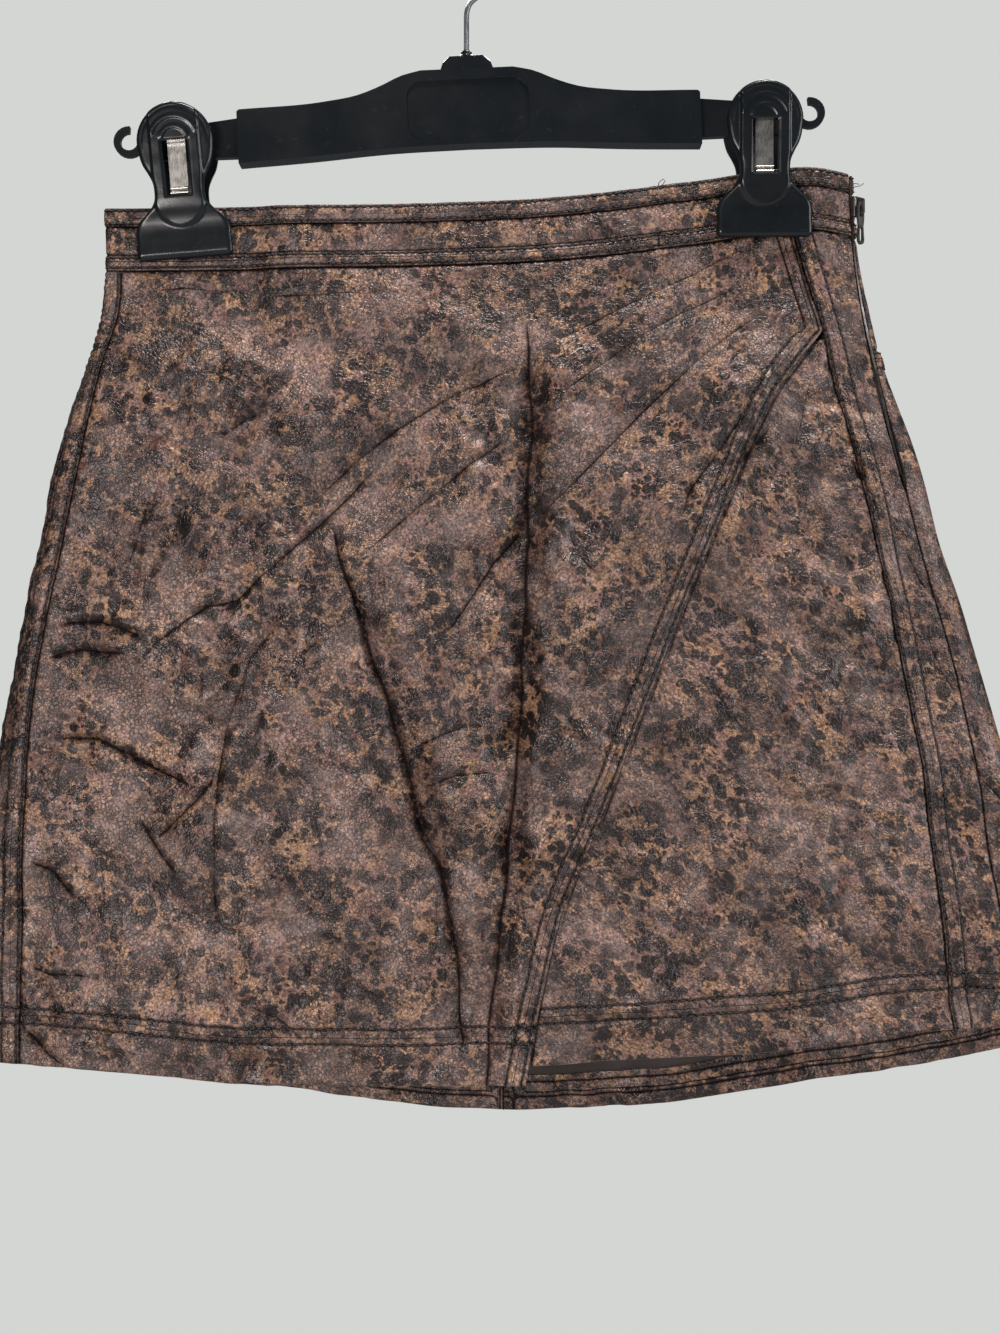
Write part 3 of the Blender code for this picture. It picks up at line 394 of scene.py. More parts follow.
def wrap_edge(z):
    return np.minimum(front_u(smooth(WRAP_EDGE, "z", "x", z), z), right_seam(z))


def under_edge(z):
    return wrap_edge(z) - LAP / frame_at(z)[4]


def zip_seam(z):
    return 0.5 - smooth(ZIP_SEAM, "z", "x", z) / frame_at(z)[4]


def left_back_seam(z):
    """The left side strip is as wide as the right one."""
    return 1.0 + left_seam(z) - (zip_seam(z) - right_seam(z))


def left_back_seam_low(z):
    return left_back_seam(z) - 1.0


def centre_back(z):
    return back_u(CB_SEAM_X, z)


def constant(value):
    return lambda z: np.full(np.shape(z), value)


def zip_gap(z):
    """Half of the slit over the zip, closing to a seam under it."""
    return SEAM_GAP / 2 + (ZIP_SLIT - SEAM_GAP) / 2 * ease((z - ZIP_END_Z) / 8.0)


def wrap_lift(u, z):
    """The wrap climbs on to the under panel along its edge, and is loose at the foot."""
    near = (wrap_edge(z) - u) * frame_at(z)[4]
    on = ease((LAP + LAP_RAMP - near) / LAP_RAMP) * ease((APEX_Z + 18 - z) / 14.0)
    loose = ease((LAP_FREE_Z - z) / 60.0) * ease((34.0 - near) / 34.0)
    return LAP_LIFT * on + LAP_FREE * loose


# ---------------------------------------------------------------- relief of the leather
def waves(seed, count, shortest, longest):
    """Directions and phases of a sum of plane waves, their lengths in millimetres."""
    draw = np.random.default_rng(seed)
    lengths = np.exp(draw.uniform(math.log(shortest), math.log(longest), count))
    turns = draw.uniform(0, 2 * math.pi, count)
    across = draw.uniform(-0.8, 0.8, count)
    ways = np.stack([np.cos(turns), across, np.sin(turns)], -1)
    ways *= (2 * math.pi / lengths / np.linalg.norm(ways, axis=1))[:, None]
    return ways, draw.uniform(0, 2 * math.pi, count), (lengths / longest) ** 1.1


SLACK = waves(11, 26, 22.0, 90.0)      # soft waves of the hanging cloth
WRINKLES = waves(12, 40, 7.0, 20.0)    # small ones, in patches
PATCHES = waves(13, 14, 50.0, 130.0)   # where the patches are
SLACK_DEPTH = 1.9
WRINKLE_DEPTH = 0.95
FAR = 9.0              # a distance that counts as away from any line
LINE_REACH = 3.6
LINE_WIDTH = 1.5       # the widest crease whose line shows in full
RUN_OFF_Z = -470.0     # creases that start or end under this run off at the hem
CALM_BAND = 22.0       # the waves grow over this much under the waistband
CALM_FOLD = 26.0       # and over this much beside the side folds


def ripple(places, kind):
    """About -1 to 1 at each place."""
    ways, phases, sizes = kind
    total = np.zeros(places.shape[:-1])
    for way, phase, size in zip(ways, phases, sizes):
        total += size * np.sin(places @ way + phase)
    return total / math.sqrt((sizes ** 2).sum())


def crease_fields(x, z, side):
    """Height of the creases, the signed distance to the nearest one, and its strength.

    The distance has a sign so that the material finds the line between two vertices."""
    height = np.zeros(np.shape(x))
    signed = np.full(np.shape(x), FAR)
    strong = np.zeros(np.shape(x))
    for crease in CREASES:
        if crease.side != side:
            continue
        points = np.array(crease.path, float)
        pad = 8 * crease.width
        near = ((x > points[:, 0].min() - pad) & (x < points[:, 0].max() + pad)
                & (z > points[:, 1].min() - pad) & (z < points[:, 1].max() + pad))
        if not near.any():
            continue
        bent = 1.1 * np.sin(z[near] / 6.1 + points[0, 0]) + 0.7 * np.sin(x[near] / 3.7)
        gap, along, hand = path_distance(x[near] + 0.4 * bent, z[near] + 0.3 * bent, crease.path)
        ends = ease(along * 6) * ease((1 - along) * 6)
        if min(crease.path[0][1], crease.path[-1][1]) < RUN_OFF_Z:
            ends = np.maximum(ends, 0.6 * ease((RUN_OFF_Z + 40 - z[near]) / 30.0))
        uneven = 0.72 + 0.28 * np.sin(along * 23 + points[0, 0]) * np.sin(along * 9 + points[0, 1])
        strength = crease.depth * ends * uneven
        trough = np.exp(-(gap / crease.width) ** 1.5)
        offset = gap * hand * np.sign(crease.lip)
        lip = np.exp(-((offset - 1.9 * crease.width) / (1.3 * crease.width)) ** 2)
        height[near] += strength * (abs(crease.lip) / crease.depth * lip - trough)
        sharp = min(1.0, LINE_WIDTH / crease.width * max(1.0, crease.depth / LINE_WIDTH))
        shown = np.clip(1.4 * strength, 0, 2.6) * sharp * ease((LINE_REACH - gap) / 2.0)
        closer = shown > strong[near]
        signed[near] = np.where(closer, gap * hand, signed[near])
        strong[near] = np.maximum(strong[near], shown)
    return height, signed, strong


def relief(u, z):
    """Fine height of the cloth at u and z, and its nearest crease's distance and strength."""
    x, y = plan(u, z)
    front, front_gap, front_strong = crease_fields(x, z, -1)
    back, back_gap, back_strong = crease_fields(x, z, 1)
    ahead = ease((3.0 - y) / 6.0)
    places = np.stack([x, 2.0 * y, z], -1)
    patches = ease(0.5 + 0.9 * ripple(places, PATCHES))
    left, right = frame_at(z)[:2]
    free = 1 - 0.9 * grip(x, z)
    free = free * ease((waist_z(u) - BAND_FOOT - z) / CALM_BAND)
    free = free * (0.3 + 0.7 * ease(np.minimum(x - left, right - x) / CALM_FOLD))
    soft = SLACK_DEPTH * ripple(places, SLACK) + WRINKLE_DEPTH * patches * ripple(places, WRINKLES)
    creases = front * ahead + back * (1 - ahead)
    near_waist = ease((waist_z(u) - BAND_FOOT - 3 - z) / 6.0)
    height = soft * free + creases * near_waist * (1 - 0.6 * grip(x, z))
    in_front = ahead > 0.5
    return (height, np.where(in_front, front_gap, back_gap),
            np.where(in_front, front_strong, back_strong))


def beside(seam, u, z):
    """Distance from a seam, square to it, at u and z."""
    girth = frame_at(z)[4]
    slope = (seam(z + 2.0) - seam(z - 2.0)) * girth / 4.0
    return (u - seam(z)) * girth / np.hypot(1.0, slope)


RAISED = 0.8           # seam allowance under the cloth


def allowance(gap, reach):
    """Raised strip over a seam's allowance, from the seam to its outer row of stitches."""
    return RAISED * ease(gap / 1.6 + 0.2) * ease((reach + 1.4 - gap) / 2.2)


def grooves(gap, rows, depth=0.4, width=1.1):
    """Grooves along the rows."""
    return sum(-depth * np.exp(-((gap - row) / width) ** 2) for row in rows)


GATHERS = (5.6, 7.9, 11.3, 17.0)       # lengths of the waves that add up to gathers
PUCKER_LEAN = 0.7      # how far a hem's gathers lean, for their height


def puckers(gap, along, seed, reach=9.0, depth=0.3):
    """Small gathers across a row of stitches."""
    draw = np.random.default_rng(seed)
    total = 0.0
    for length in GATHERS:
        total = total + np.sin(along * 2 * math.pi / length + draw.uniform(0, 6.28)
                               + 1.5 * np.sin(along / 31.0 + draw.uniform(0, 6.28)))
    return depth * 0.35 * total * np.exp(-np.abs(gap) / reach)


# ---------------------------------------------------------------- sheets of cloth
THICK = 1.0            # of the sheet
FOLD_R = 1.15          # outer radius of the fold at a hem
ROLL = 0.8             # how far a sheet's edge rolls down at a seam, and over what length
ROLL_OVER = 1.1
EDGE_ROLL = 1.7        # the same at the wrap's free edge, where a facing doubles the cloth
EDGE_MORE = 0.95
EDGE_FACING = 11.0
TURN_STEP = 2.2        # between points up a turned-up hem
BACKING_STEP = 3.2     # and across a backing
FRONT_GATHER = 0.34    # depth of the gathers along a hem
BACK_GATHER = 0.75
Cut = namedtuple("Cut", "wide tall area")      # metres and square metres, with the turned-up hem
Panel = namedtuple("Panel", "name replaced first last top bottom lift gaps seams top_rows "
                            "turn_up size step shift cut")


def rolled(gap, deep=ROLL):
    return -deep * np.exp(-(np.maximum(gap, 0) / (ROLL_OVER * deep / ROLL)) ** 1.5)


def spaced(length, step, fine=(0.0, 0.45, 1.0, 1.8)):
    """Distances across a piece: close to each edge, then even."""
    count = max(2, round((length - 2 * fine[-1]) / step))
    places = list(fine[:-1]) + list(np.linspace(fine[-1], length - fine[-1], count + 1))
    return np.array(places + [length - f for f in fine[:-1][::-1]])


def settle(piece, across, height, gaps=None):
    """u and z of places across a piece, whose ends depend on z and whose heights on u.

    The piece stays back from its first and last seams by its gaps, or half a seam's."""
    first, last = [gap or constant(SEAM_GAP / 2) for gap in gaps or piece.gaps]
    z = height(np.full(np.shape(across), 0.25))
    for _ in range(10):
        girth = frame_at(z)[4]
        start = piece.first(z) + first(z) / girth
        end = piece.last(z) - last(z) / girth
        u = start + (end - start) * across
        z = height(u)
    return u, z


def sheet_grid(panel, step):
    """A panel's places, down its outer face, round the fold at its foot and up inside.

    Gives u, z, both faces' own heights and lifts, and the cloth's distance from the top."""
    wide, tall = panel.size
    across = (spaced(wide, step) / wide)[None, :]
    down = spaced(tall, step) / tall
    rows = [(0, f) for f in (down[:-4] if panel.turn_up else down)]
    if panel.turn_up:
        inside = round(panel.turn_up / TURN_STEP) + 1
        rows += [(1, a) for a in np.radians(np.linspace(0, 180, 9))]
        rows += [(2, h) for h in np.linspace(0, panel.turn_up, inside)[1:]]
    kind = np.array([row[0] for row in rows])[:, None]
    value = np.array([row[1] for row in rows])[:, None]
    fold = FOLD_R if panel.turn_up else 0.0

    def height(u):
        top, foot = panel.top(u), panel.bottom(u) + fold
        return np.select([kind == 0, kind == 1], [top + (foot - top) * value, foot], foot + value)

    u, z = settle(panel, across, height)
    top, foot = panel.top(u), panel.bottom(u) + fold
    turn = np.select([kind == 0, kind == 1], [0 * value, value], math.pi + 0 * value)
    small = FOLD_R - THICK
    heights = [z - radius * np.sin(turn) for radius in (FOLD_R, small)]
    lifts = [radius * np.cos(turn) - FOLD_R + 0 * z for radius in (FOLD_R, small)]
    run = np.select([kind == 0, kind == 1], [top - z, top - foot + FOLD_R * value],
                    top - foot + math.pi * FOLD_R + value)
    return u, z, heights, lifts, run


def seam_height(panel, u, z):
    """Rolled edges, raised allowances, stitched grooves and puckers along a panel's edges."""
    height = np.zeros(np.shape(u))
    for seam, sign, rows, seed in ((panel.first, 1, panel.seams[0], 1),
                                   (panel.last, -1, panel.seams[1], 2)):
        gap = beside(seam, u, z) * sign
        height += rolled(gap, EDGE_ROLL if seam is wrap_edge else ROLL)
        seed += len(panel.name)
        if rows:
            height += allowance(gap, rows[-1]) + grooves(gap, rows)
            height += puckers(gap - rows[-1] / 2, z, seed)
        else:
            height += puckers(gap, z, seed, 5.0, 0.16)
    gap = panel.top(u) - z
    along = u * frame_at(z)[4]
    height += rolled(gap) + puckers(gap, along, len(panel.name), 5.0, 0.2)
    if panel.top_rows:
        height += allowance(gap, panel.top_rows[-1]) + grooves(gap, panel.top_rows)
    gap = z - panel.bottom(u)
    if panel.turn_up:
        rows = hem_rows(panel)
        height += 0.25 * ease((panel.turn_up + 1.5 - gap) / 3.0) + grooves(gap, rows)
        deep = BACK_GATHER if panel.turn_up == BACK_HEM else FRONT_GATHER
        height += puckers(gap - rows[0], along + PUCKER_LEAN * gap, len(panel.name) + 3, 12.0, deep)
    else:
        height += rolled(gap)
    return height


def hem_rows(panel):
    """Heights of the two rows of stitches that hold a turned-up hem."""
    return (panel.turn_up - 2.0, panel.turn_up - 8.5)


def face_lift(panel, u, z):
    return panel.lift(u, z) + seam_height(panel, u, z) + relief(u, z)[0]


def facing(panel, u, z):
    """The wrap's edge has a second layer behind it."""
    if panel.last is not wrap_edge:
        return 0.0
    return EDGE_MORE * ease((EDGE_FACING + 2 + beside(wrap_edge, u, z)) / 3.0)


def bordered(grid):
    """The grid with its side columns, and its first row, said twice."""
    grid = np.concatenate([grid[:, :1], grid, grid[:, -1:]], axis=1)
    return np.concatenate([grid[:1], grid], axis=0)


def upright(panel):
    """The upright line nearest a panel's middle, which its print is square to."""
    return round(2 * float(panel.first(-300.0) + panel.last(-300.0))) / 4


def make_panel(panel):
    """The leather of one panel, folded up inside at its foot, and the backing behind it."""
    u, z, heights, lifts, run = sheet_grid(panel, panel.step)
    fine, gap, strength = relief(u, z)
    seams = seam_height(panel, u, z)
    outer = surface(u, heights[0], lifts[0] + panel.lift(u, z) + fine + seams)
    # Distances and strengths for the creases' bump and for the painted shade along creases, seams and
    # rows of stitches.
    marks = {"crease_gap": gap, "crease": strength, "seam_gap": seam_distance(panel, u, z),
             "row_gap": row_distance(panel, u, z)}
    edge = surface(u, heights[0], lifts[0] + panel.lift(u, z) + fine - THICK
                   - facing(panel, u, z) * (lifts[0] > -0.1))
    outer, edge = bordered(outer), bordered(edge)
    marks = {name: bordered(values) for name, values in marks.items()}
    outer[0], outer[:, 0], outer[:, -1] = edge[0], edge[:, 0], edge[:, -1]
    across = (u - upright(panel)) * frame_at(z)[4]
    uv = bordered(np.stack([across + panel.shift[0], -run + panel.shift[1]], -1)) * MM
    made = place(panel.name, grid_mesh(panel.name, outer, uv, marks), "leather", LEATHER)
    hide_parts(*panel.replaced)

    u, z, _, _, run = sheet_grid(panel._replace(turn_up=0.0), BACKING_STEP)
    level = panel.lift(u, z) + relief(u, z)[0] - THICK - 0.03
    inner = surface(u, z, level - facing(panel, u, z))
    uv = np.stack([u * frame_at(z)[4], -run], -1) * MM
    lining = place(panel.name + "_backing", grid_mesh(panel.name, inner, uv, {}),
                   "leather_backing", BACKING)
    return made


def seam_distance(panel, u, z):
    """Distance to the nearest of a panel's seamed edges, and on the under panel to a line beside the
    wrap's edge; the leather paints shade along these.
    """
    gaps = [beside(panel.first, u, z), panel.top(u) - z]
    if panel.last is not wrap_edge:
        gaps.append(-beside(panel.last, u, z))
    # A painted shadow line on the under panel, just beside the wrap's edge that lies on it.
    if panel.first is under_edge:
        gaps.append(np.abs(beside(wrap_edge, u, z) - 0.9))
    if not panel.turn_up:
        gaps.append(z - panel.bottom(u))
    return np.clip(np.min(gaps, axis=0), -1, FAR)


def nearest(gaps):
    """The smallest distance of several, with its sign."""
    stacked = np.stack(gaps)
    chosen = np.argmin(np.abs(stacked), axis=0)
    return np.clip(np.take_along_axis(stacked, chosen[None], 0)[0], -FAR, FAR)


def row_distance(panel, u, z):
    """Signed distance to the nearest row of stitches."""
    gaps = [np.full(np.shape(u), FAR)]
    for seam, sign, rows in ((panel.first, 1, panel.seams[0]), (panel.last, -1, panel.seams[1])):
        gaps += [beside(seam, u, z) * sign - row for row in rows or ()]
    gaps += [panel.top(u) - z - row for row in panel.top_rows or ()]
    if panel.turn_up:
        gaps += [z - panel.bottom(u) - row for row in hem_rows(panel)]
    return nearest(gaps)


def grid_mesh(name, points, uv, marks):
    """A grid of points as a mesh, with cloth coordinates in metres."""
    rows, columns = points.shape[:2]
    index = np.arange(rows * columns).reshape(rows, columns)
    faces = np.stack([index[:-1, :-1], index[1:, :-1], index[1:, 1:], index[:-1, 1:]], -1)
    return numpy_mesh(name, points.reshape(-1, 3), faces.reshape(-1, 4), uv.reshape(-1, 2), marks)


def numpy_mesh(name, points, faces, uv, marks):
    mesh = bpy.data.meshes.new(name)
    mesh.vertices.add(len(points))
    mesh.vertices.foreach_set("co", (points * MM).astype(np.float32).ravel())
    mesh.loops.add(faces.size)
    mesh.loops.foreach_set("vertex_index", faces.astype(np.int32).ravel())
    mesh.polygons.add(len(faces))
    mesh.polygons.foreach_set("loop_start", np.arange(0, faces.size, 4, dtype=np.int32))
    mesh.update(calc_edges=True)
    mesh.uv_layers.new(name="cloth").data.foreach_set("uv", uv[faces.ravel()].astype(np.float32).ravel())
    for label, values in marks.items():
        layer = mesh.attributes.new(label, "FLOAT", "POINT")
        layer.data.foreach_set("value", values.ravel().astype(np.float32))
    mesh.validate()
    mesh.shade_smooth()
    return mesh


def closed_mesh(name, outer, inner, uv, marks):
    """Two grids of points joined by a rim: leather outside, backing within."""
    rows, columns = outer.shape[:2]
    size = rows * columns
    index = np.arange(size).reshape(rows, columns)
    a, b = index[:-1, :-1], index[:-1, 1:]
    d, e = index[1:, :-1], index[1:, 1:]
    out_faces = np.stack([a, d, e, b], -1).reshape(-1, 4)
    in_faces = np.stack([a, b, e, d], -1).reshape(-1, 4) + size
    ring = np.concatenate([index[0, :-1], index[:-1, -1], index[-1, :0:-1], index[:0:-1, 0]])
    after = np.roll(ring, -1)
    rim = np.stack([ring, after, after + size, ring + size], -1)
    mesh = numpy_mesh(name, np.concatenate([outer.reshape(-1, 3), inner.reshape(-1, 3)]),
                      np.concatenate([out_faces, in_faces, rim]),
                      np.concatenate([uv.reshape(-1, 2)] * 2),
                      {label: np.concatenate([values.ravel()] * 2) for label, values in marks.items()})
    within = np.zeros(len(mesh.polygons), np.int32)
    within[len(out_faces):len(out_faces) + len(in_faces)] = 1
    mesh.polygons.foreach_set("material_index", within)
    return mesh


def place(name, data, slot, *materials, matrix=Matrix.Identity(4)):
    """Puts a piece of the garment's body in the scene."""
    made = bpy.data.objects.new(name, data)
    bpy.context.scene.collection.objects.link(made)
    data.materials.clear()
    for material in materials:
        data.materials.append(material)
    made.matrix_world = matrix
    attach(made, GARMENT)
    return made


def flat_lift(u, z):
    return np.zeros(np.shape(u))


def under_top(u):
    return np.full(np.shape(u), APEX_Z - 3.4)


FOOT = below_waist(BAND_FOOT + FOOT_GAP)
SEAM_ROWS = (1.2, 7.7)
WRAP_ROWS = (1.7, 7.5)
YOKE_ROWS = (1.6, 8.0)
FRONT_HEM = 26.0
BACK_HEM = 14.5
TUCKED = constant(-0.3)        # the centre back seam's edges, one tucked into the other
PANELS = (
    Panel("wrap_front", ("front_left_wrap", "hem_front_left"), left_seam, wrap_edge, FOOT,
          hem_left, wrap_lift, (None, None), (None, WRAP_ROWS), None, FRONT_HEM,
          (262.0, 348.0), 1.12, (0, 0),
          Cut(0.305, 0.376, 0.104)),
    Panel("under_front", ("front_right_under", "hem_front_right"), under_edge, right_seam,
          under_top, hem_right, flat_lift, (None, None), (None, None), None, FRONT_HEM,
          (118.0, 305.0), 1.2, (431, 37),
          Cut(0.193, 0.337, 0.043)),
    Panel("left_side", ("side_left", "hem_side_left"), left_back_seam_low, left_seam, FOOT,
          hem_left, flat_lift, (None, None), (SEAM_ROWS, SEAM_ROWS), None, FRONT_HEM,
          (46.0, 348.0), 1.2, (913, 211),
          Cut(0.030, 0.368, 0.0095)),
    Panel("right_side", ("side_right", "hem_side_right"), right_seam, zip_seam, FOOT,
          hem_right, flat_lift, (None, zip_gap), (SEAM_ROWS, None), None, FRONT_HEM,
          (34.0, 350.0), 1.2, (1277, 390),
          Cut(0.030, 0.371, 0.0090)),
    Panel("yoke_back", ("back_yoke",), zip_seam, left_back_seam, FOOT, yoke_z, flat_lift,
          (zip_gap, None), (None, None), None, 0.0, (350.0, 50.0), 1.8, (1613, 97),
          Cut(0.534, 0.053, 0.0157)),
    Panel("right_back", ("back_right", "hem_back_right"), zip_seam, centre_back, below_yoke,
          hem_right, flat_lift, (zip_gap, TUCKED), (None, (4.6,)), YOKE_ROWS, BACK_HEM,
          (215.0, 318.0), 1.9, (2039, 523),
          Cut(0.293, 0.340, 0.0831)),
    Panel("left_back", ("back_left", "hem_back_left"), centre_back, left_back_seam, below_yoke,
          hem_left, flat_lift, (TUCKED, None), ((1.4,), None), YOKE_ROWS, BACK_HEM,
          (190.0, 318.0), 1.9, (2411, 641),
          Cut(0.241, 0.340, 0.0756)),
)

# ---------------------------------------------------------------- waistband
Strip = namedtuple("Strip", "name replaced first last upper lower proud gaps rows shift")
BAND_ROLL = 0.5


def low_join(z):
    return front_u(LOW_JOIN_X, z)


LEFT_END = constant(0.0)
RIGHT_END = constant(1.0)
STRIPS = (
    Strip("binding_front", "band_top_front", LEFT_END, zip_seam, 0.0, BAND_TOP, TOP_PROUD,
          (None, zip_gap), (1.1, 6.9), (0, 811)),
    Strip("binding_back", "band_top_back", zip_seam, RIGHT_END, 0.0, BAND_TOP, TOP_PROUD,
          (zip_gap, None), (1.1, 6.9), (377, 811)),
    Strip("strip_front", "band_mid_front", LEFT_END, zip_seam, BAND_TOP + SEAM_GAP, BAND_MID, 0.0,
          (None, zip_gap), (), (733, 887)),
    Strip("strip_back", "band_mid_back", zip_seam, RIGHT_END, BAND_TOP + SEAM_GAP, BAND_MID, 0.0,
          (zip_gap, None), (), (1129, 887)),
    Strip("ledge_front_left", "band_low_front_left", LEFT_END, low_join, BAND_MID + SEAM_GAP,
          BAND_FOOT, LOW_PROUD, (None, None), (1.1, 5.4), (1511, 953)),
    Strip("ledge_front_right", "band_low_front_right", low_join, zip_seam, BAND_MID + SEAM_GAP,
          BAND_FOOT, LOW_PROUD, (None, zip_gap), (1.1, 5.4), (1871, 953)),
    Strip("ledge_back", "band_low_back", zip_seam, RIGHT_END, BAND_MID + SEAM_GAP, BAND_FOOT,
          LOW_PROUD, (zip_gap, None), (1.1, 5.4), (2203, 953)),
)


def strip_lift(strip, u, z):
    """Height of a strip's outer face: rolled edges, a low pillow, and gathers at the stitches."""
    gap = waist_z(u) - strip.upper - z
    height = strip.lower - strip.upper
    share = np.clip(gap / height, 0, 1)
    places = np.stack([*plan(u, z), z], -1)
    along = u * frame_at(z)[4]
    pillow = 0.15 * (1 - (2 * share - 1) ** 2)
    fine = 0.22 * ripple(places * (1.0, 2.0, 1.0), WRINKLES)
    gathers = (puckers(gap, along, len(strip.name), 3.0, 0.2)
               + puckers(height - gap, along, len(strip.name) + 5, 3.0, 0.2))
    ends = (rolled(beside(strip.first, u, z)) + rolled(-beside(strip.last, u, z)))
    return (strip.proud + (pillow + fine + gathers) * (1 - 0.7 * grip(places[..., 0], z))
            + rolled(gap, BAND_ROLL) + rolled(height - gap, BAND_ROLL)
            + ends + grooves(gap, strip.rows, 0.22, 0.9))


def make_strip(strip):
    height = strip.lower - strip.upper
    length = (strip.last(-120.0) - strip.first(-120.0)) * frame_at(-120.0)[4]
    across = (spaced(float(length), 1.7) / length)[None, :]
    down = (spaced(height, 0.9, (0.0, 0.35, 0.8, 1.4)) / height)[:, None]
    u, z = settle(strip, across, lambda u: waist_z(u) - strip.upper - height * down)
    outer = surface(u, z, strip_lift(strip, u, z))
    inner = surface(u, z, -WALL)
    uv = np.stack([u * frame_at(z)[4] + strip.shift[0], z + strip.shift[1]], -1) * MM
    gap = waist_z(u) - strip.upper - z
    # Distances for the rows' bump and for the painted shade along the strip's seams and rows of
    # stitches.
    marks = {"crease_gap": 0 * u + FAR, "crease": 0 * u,
             "seam_gap": 1.5 * np.minimum(gap + (FAR if strip.upper == 0 else 0), height - gap),
             "row_gap": nearest([gap - row for row in strip.rows] + [0 * u + FAR])}
    made = place(strip.name, closed_mesh(strip.name, outer, inner, uv, marks), "leather",
                 LEATHER, BACKING)
    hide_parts(strip.replaced)
    return made


# ---------------------------------------------------------------- stitches
STITCH = 3.2
STITCH_GAP = 0.5
THREAD_R = 0.34
SEAM_TOP = -148.0      # where the left seam's rows start
ROW_POINTS = 400       # along a row on a panel, and on a strip
BAND_POINTS = 500


def stitch_row(places, normals, seed):
    """Points and faces of the stitches along a line of places, in millimetres."""
    draw = np.random.default_rng(seed)
    steps = np.linalg.norm(np.diff(places, axis=0), axis=1)
    run = np.concatenate([[0], np.cumsum(steps)])
    count = max(1, int(run[-1] / STITCH))
    starts = np.linspace(0, run[-1], count + 1)[:-1] + draw.normal(0, 0.07, count)
    ends = starts + run[-1] / count - STITCH_GAP + draw.normal(0, 0.07, count)
    rings = np.array([0.0, 0.1, 0.3, 0.5, 0.7, 0.9, 1.0])
    wide = THREAD_R * np.sqrt(np.clip(1 - (2 * rings - 1) ** 4, 0.1, 1))
    sides = np.linspace(0, 2 * math.pi, 7)[:-1]
    along = starts[:, None] + (ends - starts)[:, None] * rings
    centre = np.stack([np.interp(along, run, places[:, k]) for k in range(3)], -1)
    out = np.stack([np.interp(along, run, normals[:, k]) for k in range(3)], -1)
    out /= np.linalg.norm(out, axis=-1, keepdims=True)
    ahead = np.gradient(centre, axis=1)
    ahead /= np.linalg.norm(ahead, axis=-1, keepdims=True)
    aside = np.cross(ahead, out)
    sway = draw.normal(0, 0.10, count)[:, None, None] * aside
    arch = (0.26 * np.sin(math.pi * rings) - 0.06)[None, :, None]
    centre = centre + out * arch + sway
    round_it = (aside[:, :, None] * np.cos(sides)[:, None] + out[:, :, None] * np.sin(sides)[:, None])
    points = centre[:, :, None] + round_it * wide[None, :, None, None]
    size = rings.size * sides.size
    index = np.arange(size).reshape(rings.size, sides.size)
    turned = np.roll(index, -1, axis=1)
    quads = np.stack([index[:-1], index[1:], turned[1:], turned[:-1]], -1).reshape(-1, 4)
    faces = [list(q) for q in quads] + [list(index[0]), list(index[-1][::-1])]
    return points.reshape(-1, size, 3), faces


def stitched_object(name, lines):
    """Every stitch of several rows, as one piece."""
    points, faces, base = [], [], 0
    for seed, (places, normals) in enumerate(lines):
        made, pattern = stitch_row(places, normals, seed + len(name))
        for stitch in made:
            points.append(stitch)
            faces += [[base + i for i in face] for face in pattern]
            base += len(stitch)
    mesh = bpy.data.meshes.new(name)
    mesh.from_pydata((np.concatenate(points) * MM).tolist(), [], faces)
    mesh.shade_smooth()
    place(name, mesh, "thread", THREAD)


def on_face(u, z, lift):
    """Places and outward directions of a line on the cloth."""
    places = surface(u, z, lift)
    normals = surface(u, z, lift + 1.0) - places
    return places, normals


def seam_line(panel, seam, sign, offset, top, low):
    """A row beside a seam, on its panel."""
    z = np.arange(top, low, -1.0)
    slope = (seam(z + 2.0) - seam(z - 2.0)) * frame_at(z)[4] / 4.0
    u = seam(z) + sign * offset * np.hypot(1.0, slope) / frame_at(z)[4]
    return on_face(u, z, face_lift(panel, u, z))


def level_line(panel, edge, rise):
    """A row at an even height over a panel's lower edge, or under its top one."""
    last = zip_gap if panel.last is zip_seam else constant(0.0)
    u, z = settle(panel, np.linspace(0.004, 0.996, ROW_POINTS), lambda u: edge(u) + rise,
                  (constant(0.0), last))
    return on_face(u, z, face_lift(panel, u, z))


def strip_line(strip, row):
    """A row at an even distance below a strip's upper edge, that stops short of its ends."""
    u, z = settle(strip, np.linspace(0, 1, BAND_POINTS), lambda u: waist_z(u) - strip.upper - row,
                  (constant(1.0), constant(2.0)))
    return on_face(u, z, strip_lift(strip, u, z))


def make_stitches():
    wrap, under, left, right, _, right_back, left_back = PANELS
    front, back = [], []
    for offset in SEAM_ROWS:
        front.append(seam_line(left, left_seam, -1, offset, SEAM_TOP, -490.0))
        front.append(seam_line(right, right_seam, 1, offset, SEAM_TOP + 10, -476.0))
        back.append(seam_line(left, left_back_seam_low, 1, offset, SEAM_TOP, -496.0))
    for offset in WRAP_ROWS:
        front.append(seam_line(wrap, wrap_edge, -1, offset, APEX_Z - 4 + offset, -494.0))
    for panel in (wrap, under, left, right, right_back, left_back):
        rows = front if panel in (wrap, under, right, left) else back
        for rise in hem_rows(panel):
            rows.append(level_line(panel, panel.bottom, rise))
    for panel in (right_back, left_back):
        for rise in panel.top_rows:
            back.append(level_line(panel, panel.top, -rise))
    back.append(seam_line(right_back, centre_back, -1, 4.6, -200.0, -514.0))
    back.append(seam_line(left_back, centre_back, 1, 1.4, -200.0, -514.0))
    band = [strip_line(strip, row) for strip in STRIPS for row in strip.rows]
    for name, rows in (("front", front), ("back", back), ("band", band)):
        stitched_object("stitches_" + name, rows)


